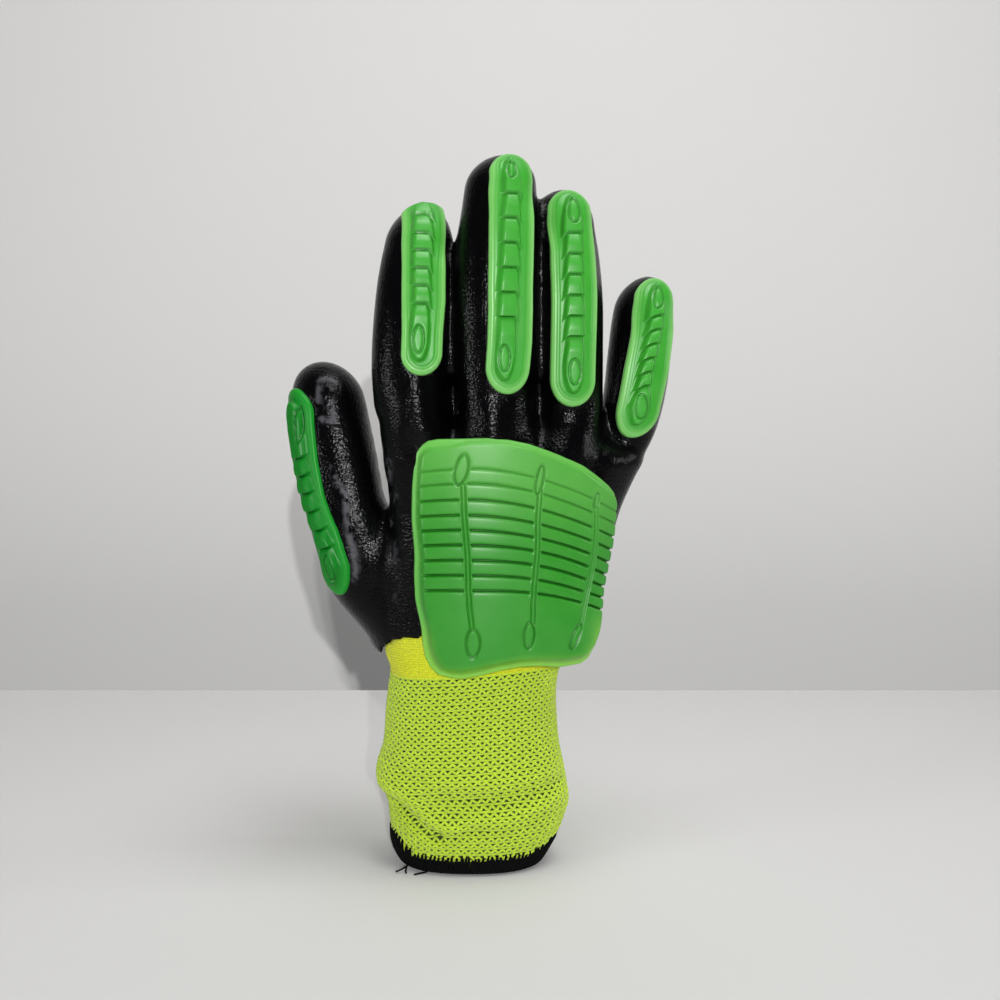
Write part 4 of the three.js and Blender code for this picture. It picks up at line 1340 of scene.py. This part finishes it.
def relaxed(points, quads):
    """Moves each point towards the middle of its neighbours and back again, which irons out ripples."""
    edges = np.concatenate([quads[:, [i, (i + 1) % 4]] for i in range(4)])
    count = np.bincount(edges[:, 0], minlength=len(points))[:, None]
    for push in RELAX_PUSHES:
        total = [np.bincount(edges[:, 0], points[edges[:, 1], i], len(points)) for i in range(3)]
        points = points + push * (np.stack(total, -1) / count - points)
    return points


def make_hand(materials):
    """The whole coat as one closed skin, with its hollow."""
    bare = hand_field() + WEB_DEPTH * hump(distance_to_path(X, Z, WEB), WEB_WIDTH)
    back = ramp(Y, *CREASE_ZONE)
    for path, rise, width in CREASES:
        bare = bare - rise * hump(distance_to_path(X, Z, path), width) * back
    bare = smooth(bare)
    inside = bare + COAT_WALL
    outside = bare
    for guard in GUARDS.values():
        outside = soft_min(outside, bed_field(guard), BED_RISE)
    edge = coat_edge(X, Y) - Z
    body = np.maximum(outside, np.maximum(-inside, edge))
    grid = openvdb.FloatGrid()
    grid.copyFromArray(np.ascontiguousarray(body, dtype=np.float32))
    corners, quads = grid.convertToQuads(isovalue=0.0)
    points = relaxed(np.array(GRID_LOW) + GRID_STEP * corners, quads)
    is_liner = (np.abs(interpolate(inside, points)) < LINER_NEAR)[quads].all(axis=1)
    piece = mesh_piece("coated_hand", points, quads.tolist(), materials, is_liner.astype(int))
    return piece, points


def interpolate(field, points):
    """Reads a field between its grid points."""
    place = (points - np.array(GRID_LOW)) / GRID_STEP
    low = np.clip(np.floor(place).astype(int), 0, np.array(GRID_SIZE) - 2)
    t = place - low
    value = 0
    for corner in np.ndindex(2, 2, 2):
        weight = np.prod(np.where(np.array(corner) == 1, t, 1 - t), axis=1)
        i, j, k = (low + np.array(corner)).T
        value = value + weight * np.broadcast_to(field, GRID_SIZE)[i, j, k]
    return value


# %% [markdown]
# ### Nitrile
#
# The coat is black nitrile foam over a fine knit, so the knit shows through as a grain of lumps about 1 mm
# across. It is glossy, and each lump breaks the reflection of a lamp into a sparkle. Three patterns make the
# bump: cells for the lumps, a fine noise for the skin and a coarse one for waves. Grey scuffs lie along a few
# strokes on the thumb, where the coat was rubbed, and painted grey sheen streaks lie along a few at its web.

# %% Nitrile and liner
# Strokes in mm (x, z), their half width and strength. The first three are grey scuffs on the thumb;
# the last three are painted sheen streaks at the web of the thumb and below it.
SCUFF_AND_SHEEN_STROKES = [
    ([(-52.0, 159.3), (-51.8, 167.1), (-49.0, 168.9), (-46.7, 166.1), (-47.5, 159.3), (-46.3, 153.6)],
     0.9, 0.6),
    ([(-52.0, 159.3), (-50.9, 154.1), (-46.3, 153.6)], 1.0, 0.6),
    ([(-47.8, 137.6), (-42.7, 129.4), (-41.2, 116.8), (-38.8, 107.2), (-39.7, 101.3)], 1.2, 0.75),
    ([(-25.5, 114.6), (-25.3, 94.3)], 0.8, 0.25),
    ([(-27.0, 143.0), (-28.0, 133.0), (-29.0, 124.0)], 1.3, 0.5),
    ([(-24.5, 132.0), (-26.0, 124.0), (-27.5, 119.0)], 0.7, 0.35),
]
MARK_EDGE = (1.6, 0.3)  # half widths from the stroke between which a mark fades in
MARK_BACK = 4.0  # y in mm beyond which the palm side isn't marked
LUMP_SCALE = 1000.0  # per metre: lumps of about 1 mm
LUMP_DEPTH = -1.6  # how deep the gaps between lumps are, against the fine skin
WAVE_SCALE = 260.0  # per metre: waves of about 4 mm
WAVE_DEPTH = 0.5
FIBRE_SCALE = 1400.0  # per metre: flecks of yarn of about 0.7 mm


def nitrile():
    """Glossy black nitrile with a grain of lumps, and grey scuffs and painted sheen streaks where the mesh
    says so.
    """
    material, tree = new_material("black_nitrile_dip")
    place = add_node(tree, "ShaderNodeTexCoord").outputs["Object"]
    cells = add_node(tree, "ShaderNodeTexVoronoi", {"feature": "SMOOTH_F1"}, {
        "Vector": place, "Scale": LUMP_SCALE, "Smoothness": 0.2, "Randomness": 0.8,
    })
    skin = noise(tree, place, GRAIN_SCALE, 2.0)
    waves = noise(tree, place, WAVE_SCALE, 3.0)
    lumps = multiply_add(tree, cells.outputs["Distance"], LUMP_DEPTH, skin)
    # Grey marks: real scuffs on the thumb, and painted sheen streaks at its web, both rougher than the coat.
    rubbed_and_sheen = add_node(tree, "ShaderNodeMath", {"operation": "MULTIPLY"}, {
        0: stored(tree, "scuff_and_sheen"), 1: levels(tree, waves, 0.42, 0.6),
    }).outputs[0]
    add_surface(tree, {
        "Base Color": mixed(tree, rubbed_and_sheen, linear("#030304"), linear("#55555a")),
        "Roughness": levels(tree, rubbed_and_sheen, 0.0, 1.0, 0.16, 0.5),
        "IOR": 1.45,
        "Specular IOR Level": 0.15,
        "Normal": bumped(tree, multiply_add(tree, waves, WAVE_DEPTH, lumps), 1.0, 0.00008),
    })
    return material


def yarn(name, colour, second_colour, roughness=0.75, sheen=0.25, gloss=0.5):
    """Matt textile yarn with a slight fleck from fibre to fibre."""
    material, tree = new_material(name)
    place = add_node(tree, "ShaderNodeTexCoord").outputs["Object"]
    fleck = noise(tree, place, FIBRE_SCALE, 2.0)
    share = levels(tree, fleck, 0.35, 0.65)
    add_surface(tree, {
        "Base Color": mixed(tree, share, linear(colour), linear(second_colour)),
        "Roughness": roughness,
        "Specular IOR Level": gloss,
        "Sheen Weight": sheen,
        "Normal": bumped(tree, fleck, 0.5, 0.00012),
    })
    return material


coat = nitrile()
lime_yarn = yarn("lime_polyester_yarn", "#b7d32f", "#a6c124", gloss=0.3)
liner_yarn = yarn("liner_knit", "#8ea638", "#7a9428")

# %% Make the coated hand
hand, hand_points = make_hand([coat, liner_yarn])
# Grey marks along the strokes: scuffs on the thumb and painted sheen at its web.
scuff_and_sheen_share = np.zeros(len(hand_points))
for stroke_path, stroke_half, stroke_strength in SCUFF_AND_SHEEN_STROKES:
    away = distance_to_path(hand_points[:, 0], hand_points[:, 2], stroke_path)
    faded = ramp(away, *(stroke_half * edge for edge in MARK_EDGE))
    scuff_and_sheen_share = np.maximum(scuff_and_sheen_share, stroke_strength * faded)
add_values(hand, "scuff_and_sheen", scuff_and_sheen_share * (hand_points[:, 1] < MARK_BACK))
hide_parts("palm_shell", *DIGITS)
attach(hand, "root")

# %% [markdown]
# ## The knitted cuff
#
# The cuff is a laid-in knit: plain rows of yarn run round the wrist, and between each two rows a second yarn
# goes up and down in a zigzag and leaves small three-cornered holes. Both yarns are laid out here as thin
# tubes, which gives true holes with true depth, as a flat texture never does. The cuff is knitted to its
# shape, so it isn't cut from a sheet of cloth.

# %% The cuff's surface
RING_POINTS = 720
CUFF_LEVELS = np.arange(0.0, 87.0, 1.0)
TURN_PROBE = 0.002  # turns from a place to the points that measure the slope there
HEIGHT_PROBE = 0.5  # mm, the same up and down
# Folds of the cuff as lines of (x, z) in mm, with a depth (below 0 sinks in) and a width.
FOLDS = [
    ([(-34.0, 26.0), (-25.7, 23.6), (-22.0, 21.2), (-18.4, 18.0), (-14.6, 15.4), (-11.4, 14.2)], -2.4, 1.6),
    ([(-33.0, 30.0), (-24.0, 27.5), (-18.0, 22.6), (-12.0, 18.6), (-6.0, 17.6)], 1.7, 3.0),
    ([(-27.0, 17.0), (-20.0, 13.0), (-13.0, 10.4)], 0.7, 3.0),
    ([(-11.4, 14.2), (-4.0, 14.6), (4.0, 16.4)], -0.6, 2.0),
    ([(-10.9, 27.6), (5.8, 26.6), (18.0, 27.4), (28.0, 30.6), (35.0, 33.5)], -1.1, 2.6),
    ([(-6.0, 33.0), (8.0, 32.4), (22.0, 34.0), (33.0, 38.0)], 0.6, 3.4),
    ([(0.0, 20.5), (14.0, 20.5), (24.0, 23.5), (34.0, 28.0)], 1.2, 3.2),
    ([(-30.0, 40.0), (-24.0, 36.0), (-18.0, 33.5)], -0.5, 2.6),
]
FOLD_ZONE = (2.0, -6.0)  # y in mm between which the folds fade in towards the back


def cuff_ring(height):
    """The cuff's outline at one height, evenly spaced from the middle of the palm side."""
    row = read_rows(CUFF, np.array([height]))[0]
    turns = np.linspace(0, 2 * math.pi, RING_POINTS * 2 + 1)
    share = np.sign(-np.sin(turns)) * np.abs(np.sin(turns)) ** (2 / BODY_POWER)
    depth = np.sign(-np.cos(turns)) * np.abs(np.cos(turns)) ** (2 / BODY_POWER)
    arch = row[5] * (1 - share ** 2) * np.where(depth > 0, 1.0, PALM_SIDE_ARCH)
    ring = section_point(row[None, :], row[6], row[3] * share, row[4] * depth + arch)
    steps = np.linalg.norm(np.diff(ring, axis=0), axis=1)
    walked = np.concatenate([[0], np.cumsum(steps)])
    even = np.linspace(0, walked[-1], RING_POINTS + 1)
    return np.stack([np.interp(even, walked, ring[:, i]) for i in range(3)], axis=-1)


CUFF_RINGS = np.stack([cuff_ring(height) for height in CUFF_LEVELS])


def on_cuff(turn, height):
    """A point of the cuff's outer surface; turn runs from 0 to 1 round it, from the palm side."""
    across = np.mod(turn, 1.0) * RING_POINTS
    up = np.clip(height, 0, CUFF_LEVELS[-1] - 1e-6)
    i, j = np.floor(across).astype(int), np.floor(up).astype(int)
    s, t = (across - i)[..., None], (up - j)[..., None]
    low = CUFF_RINGS[j, i] * (1 - s) + CUFF_RINGS[j, i + 1] * s
    high = CUFF_RINGS[j + 1, i] * (1 - s) + CUFF_RINGS[j + 1, i + 1] * s
    point = low * (1 - t) + high * t
    front = ramp(point[..., 1], *FOLD_ZONE)
    x, z = point[..., 0], point[..., 2]
    fold = sum(depth * hump(distance_to_path(x, z, path), width) for path, depth, width in FOLDS)
    point[..., 1] -= front * fold
    point[..., 2] = height
    return point


def cuff_normals(turn, height):
    """The outward direction of the cuff's surface."""
    across = on_cuff(turn + TURN_PROBE, height) - on_cuff(turn - TURN_PROBE, height)
    up = on_cuff(turn, height + HEIGHT_PROBE) - on_cuff(turn, height - HEIGHT_PROBE)
    normal = np.cross(across, up)
    return normal / np.linalg.norm(normal, axis=-1, keepdims=True)


# %% Yarn as tubes
def yarn_piece(name, material, paths, outward, radius, sides, closed=True, flat=1.0):
    """Tubes along rows of points, flattened towards 'outward', a direction given at each point."""
    paths, outward = np.array(paths), np.array(outward)
    count, length = paths.shape[:2]
    if closed:
        ahead = np.roll(paths, -1, axis=1) - np.roll(paths, 1, axis=1)
    else:
        ahead = np.gradient(paths, axis=1)
    ahead = ahead / np.linalg.norm(ahead, axis=-1, keepdims=True)
    beside = np.cross(ahead, outward)
    beside = beside / np.linalg.norm(beside, axis=-1, keepdims=True)
    above = np.cross(beside, ahead)
    turns = np.arange(sides) * 2 * math.pi / sides
    up_way = flat * np.cos(turns)[:, None] * above[:, :, None, :]
    points = paths[:, :, None, :] + radius * (up_way + np.sin(turns)[:, None] * beside[:, :, None, :])
    index = np.arange(count * length * sides).reshape(count, length, sides)
    ahead_index = np.roll(index, -1, axis=1) if closed else index[:, 1:]
    here = index if closed else index[:, :-1]
    faces = np.stack(
        [here, np.roll(here, -1, axis=2), np.roll(ahead_index, -1, axis=2), ahead_index], -1
    ).reshape(-1, 4).tolist()
    if not closed:
        for k in range(count):
            faces.append(index[k, 0, ::-1].tolist())
            faces.append(index[k, -1].tolist())
    return mesh_piece(name, points.reshape(-1, 3), faces, [material])


def course(wales, per_wale, level, swing, sunk, stray=0.0):
    """One closed path of yarn round the cuff, which swings up and down in a zigzag and strays a little."""
    place = np.arange(wales * per_wale) / per_wale
    turn = place / wales
    zigzag = 4 * np.abs(place % 1 - 0.5) - 1
    astray = RANDOM.normal(0.0, stray, len(place))
    astray = (np.roll(astray, 1) + 2 * astray + np.roll(astray, -1)) / 4
    height = level(turn) + swing * zigzag + astray
    normal = cuff_normals(turn, height)
    inward = np.broadcast_to(sunk(turn, height) if callable(sunk) else sunk, height.shape)
    return on_cuff(turn, height) - normal * inward[:, None], normal


# %% [markdown]
# ### Rows of the cuff
#
# A row and its zigzag take about 2.2 mm, and one zigzag about 2.75 mm. The rows lie level at the hem, tilt up
# a little towards the little finger above it, and follow the lower edge of the yellow band at the top. That
# band, just under the coat, is a much finer knit of the same kind.

# %% Make the lime cuff
ROWS = 29
ZIGZAGS = 58
LOWEST_ROW = 5.4
ROW_YARN = 0.46  # mm, half the width of the flattened yarn
ZIGZAG_YARN = 0.5
ZIGZAG_SWING = 0.68
ROW_FLAT = 0.62  # thickness of the flattened yarns, as a share of their width
ROW_SUNK = 0.5  # mm that the middle of the yarn lies below the cuff's outer surface
ZIGZAG_SUNK = 0.36
ROW_STRAY = 0.05  # mm that the yarn strays up or down at random
ZIGZAG_STRAY = 0.16
ROW_TILT = 0.03  # mm up for each mm across, halfway up the cuff
# x and height of the yellow band's lower edge on the back of the wrist
BAND_EDGE = [
    (-34.0, 67.4), (-24.5, 68.1), (-12.4, 69.2), (3.2, 70.3), (15.8, 71.0), (22.6, 70.8), (31.0, 70.0),
]
BAND_EDGE_PALM_SIDE = 69.5
BAND_EDGE_ZONE = (8.0, -8.0)  # y in mm between which the edge goes over to its course on the back
BAND_EDGE_LEVEL = 40.0  # height of the ring whose x and y tell where the edge is


def row_level(share):
    """The height of a row at each turn, for a row that lies at a share of the way up to the yellow band."""
    def level(turn):
        ring = on_cuff(turn, np.full_like(turn, BAND_EDGE_LEVEL))
        front = ramp(ring[:, 1], *BAND_EDGE_ZONE)
        top = BAND_EDGE_PALM_SIDE + front * (np.interp(ring[:, 0], *zip(*BAND_EDGE)) - BAND_EDGE_PALM_SIDE)
        return LOWEST_ROW + share * (top - LOWEST_ROW) + ROW_TILT * ring[:, 0] * 4 * share * (1 - share)
    return level


row_paths = [course(ZIGZAGS, 4, row_level(k / ROWS), 0.0, ROW_SUNK, ROW_STRAY) for k in range(ROWS + 1)]
rows_piece = yarn_piece("lime_cuff_rows", lime_yarn, *zip(*row_paths), ROW_YARN, 6, flat=ROW_FLAT)
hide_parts("knit_cuff")
zigzag_paths = [
    course(ZIGZAGS, 8, row_level((k + 0.5) / ROWS), ZIGZAG_SWING, ZIGZAG_SUNK, ZIGZAG_STRAY)
    for k in range(ROWS)
]
zigzag_piece = yarn_piece("lime_cuff_zigzags", lime_yarn, *zip(*zigzag_paths), ZIGZAG_YARN, 5)
for cuff_piece in (rows_piece, zigzag_piece):
    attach(cuff_piece, "root")


# %% Make the painted shade sheet behind the cuff
def ring_sheet(name, heights, columns, place, materials):
    """A tube of plain wall between heights, all the way round the cuff."""
    turn = np.arange(columns) / columns
    points = np.concatenate([place(turn, np.full(columns, h)) for h in heights])
    index = np.arange(len(heights) * columns).reshape(len(heights), columns)
    beside = np.roll(index, -1, axis=1)
    faces = np.stack([index[:-1], beside[:-1], beside[1:], index[1:]], -1).reshape(-1, 4)
    return mesh_piece(name, points, faces.tolist(), materials)


# Painted shade: a dark olive sheet behind the rows stands in for the shade inside the cuff, seen through the
# holes.
shade_yarn = yarn("painted_shade_yarn", "#3a4a08", "#303e06", gloss=0.2)
SHADE_SHEET_LEVELS = np.arange(1.5, 78.0, 1.5)
SHADE_SHEET_COLUMNS = 160
SHADE_SHEET_SUNK = 1.45  # mm that it lies below the cuff's outer surface


def on_shade_sheet(turn, height):
    """A point of the dark sheet behind the cuff's rows, a painted shade that shows through the holes."""
    return on_cuff(turn, height) - SHADE_SHEET_SUNK * cuff_normals(turn, height)


shade_sheet = ring_sheet("cuff_painted_shade_sheet", SHADE_SHEET_LEVELS, SHADE_SHEET_COLUMNS, on_shade_sheet, [shade_yarn])
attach(shade_sheet, "root")

# %% Make the yellow band
BAND_WALES = 150
BAND_STEP = 0.88
BAND_ROWS = 19
BAND_YARN = 0.27
BAND_SWING = 0.16
BAND_START = 0.5  # mm from the band's lower edge to its first row
BAND_SUNK = 0.3
COAT_SUNK = 1.5  # mm deeper that the band lies under the coat
COAT_ZONE = (-0.4, 1.4)  # mm over the coat's edge between which the band goes down
BACKING_SUNK = 0.2  # mm that the backing lies below the middle of the band's yarn
BACKING_LEVELS = 12
BACKING_COLUMNS = 200
yellow_yarn = yarn("yellow_polyester_yarn", "#d6dc12", "#c8ce0c", gloss=0.3)


def band_level(k):
    """The height of a row of the band, counted up from the band's lower edge."""
    def level(turn):
        return row_level(1.0)(turn) + BAND_START + k * BAND_STEP
    return level


def band_sunk(turn, height):
    """The band runs on under the coat, so it lies deeper there."""
    ring = on_cuff(turn, height)
    return BAND_SUNK + COAT_SUNK * ramp(height - coat_edge(ring[:, 0], ring[:, 1]), *COAT_ZONE)


band_paths = [course(BAND_WALES, 4, band_level(k), BAND_SWING, band_sunk) for k in range(BAND_ROWS)]
band = yarn_piece("yellow_band_rows", yellow_yarn, *zip(*band_paths), BAND_YARN, 4)


def on_backing(turn, height):
    """A point of the plain sheet behind the rows of the band."""
    place = row_level(1.0)(turn) + height
    sunk = BACKING_SUNK + band_sunk(turn, place)
    return on_cuff(turn, place) - sunk[:, None] * cuff_normals(turn, place)


backing_levels = np.linspace(0, BAND_ROWS * BAND_STEP, BACKING_LEVELS)
backing = ring_sheet("yellow_band_backing", backing_levels, BACKING_COLUMNS, on_backing, [yellow_yarn])
for band_piece in (band, backing):
    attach(band_piece, "root")

# %% [markdown]
# ## The hem
#
# The cuff's mouth is bound with black overlock stitches: thread wrapped round and round the edge, uneven at
# its upper side where the needle thread bites into the knit. A few loose ends lie at the lower left.

# %% Make the hem
HEM_WRAPS = 190
HEM_THREAD = 0.45
HEM_TOP = 5.9
HEM_CURL = 6.5  # mm that the hem reaches higher on the thumb side
HEM_CURL_RIGHT = 4.0  # mm that it reaches higher on the other side
HEM_FOOT = 0.6
HEM_SPIKES = (0.8, -0.7)  # mm that every other wrap reaches higher, and the rest lower
HEM_STRAY = 0.5  # mm that a wrap reaches higher or lower at random
HEM_LEAN = (0.2, 1.2)  # wraps' widths that a wrap leans over, at random between the two
HEM_SHIFT = 0.25  # wraps' widths that a wrap is moved aside at random
HEM_POINTS = 14  # points round a wrap
HEM_DEPTH = 0.9  # mm that a wrap swings out and in
HEM_INWARD = 0.3  # mm that the middle of this swing lies inside the cuff's surface
HEM_OUTER = 0.9  # scale of the part outside the surface, and of the part inside it
HEM_INNER = 1.2
HEM_POWER = 0.85
CURL_LEFT = (-19.0, -27.0)  # x in mm between which the hem comes to curl up
CURL_RIGHT = (17.0, 27.0)
CURL_LEVEL = 6.0  # height at which a wrap's x is read
UP = np.array([0.0, 0.0, 1.0])
LOOSE_THREAD = 0.34
LOOSE_ENDS = [
    # points in mm: x, y, z
    [(-19.5, -10.6, 2.8), (-22.5, -12.4, 2.2), (-24.6, -13.4, 1.2), (-26.4, -14.0, 0.7)],
    [(-21.6, -9.8, 2.6), (-22.8, -12.2, 1.8), (-23.0, -13.4, 0.9), (-22.8, -14.6, 0.5)],
    [(-14.5, -12.9, 1.2), (-16.0, -14.0, 0.6), (-18.2, -14.6, 0.4), (-20.0, -15.6, 0.4)],
]

black_thread = yarn("black_overlock_thread", "#020203", "#060607", roughness=0.9, sheen=0.0, gloss=0.12)


def hem_wraps():
    """Closed loops of thread round the edge of the cuff, high and low in turn."""
    turns = np.linspace(0, 2 * math.pi, HEM_POINTS + 1)[:-1]
    paths, outs = [], []
    for i in range(HEM_WRAPS):
        start = (i + HEM_SHIFT * RANDOM.random()) / HEM_WRAPS
        side = on_cuff(np.array([start]), np.array([CURL_LEVEL]))[0, 0]
        curl = HEM_CURL * ramp(side, *CURL_LEFT) + HEM_CURL_RIGHT * ramp(side, *CURL_RIGHT)
        reach = HEM_TOP + HEM_SPIKES[i % 2] + RANDOM.uniform(-HEM_STRAY, HEM_STRAY) + curl
        height = HEM_FOOT + (reach - HEM_FOOT) * (0.5 - 0.5 * np.cos(turns)) ** HEM_POWER
        lean = RANDOM.uniform(*HEM_LEAN) / HEM_WRAPS
        turn = start + 0.5 * (1 - np.cos(turns)) * lean
        normal = cuff_normals(turn, np.maximum(height, 1.0))
        out = HEM_DEPTH * np.sin(turns) - HEM_INWARD
        out = np.where(out > 0, out * HEM_OUTER, out * HEM_INNER)
        paths.append(on_cuff(turn, height) + normal * out[:, None])
        around = np.stack([np.sin(turns), -np.cos(turns)], -1)
        outs.append(normal * around[:, :1] + UP * around[:, 1:])
    return np.array(paths), np.array(outs)


hem = yarn_piece("hem_wraps", black_thread, *hem_wraps(), HEM_THREAD, 5)
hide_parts("hem_binding")

upward = np.broadcast_to(UP, np.shape(LOOSE_ENDS))
loose = yarn_piece("hem_loose_ends", black_thread, LOOSE_ENDS, upward, LOOSE_THREAD, 6, closed=False)
for hem_piece in (hem, loose):
    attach(hem_piece, "root")
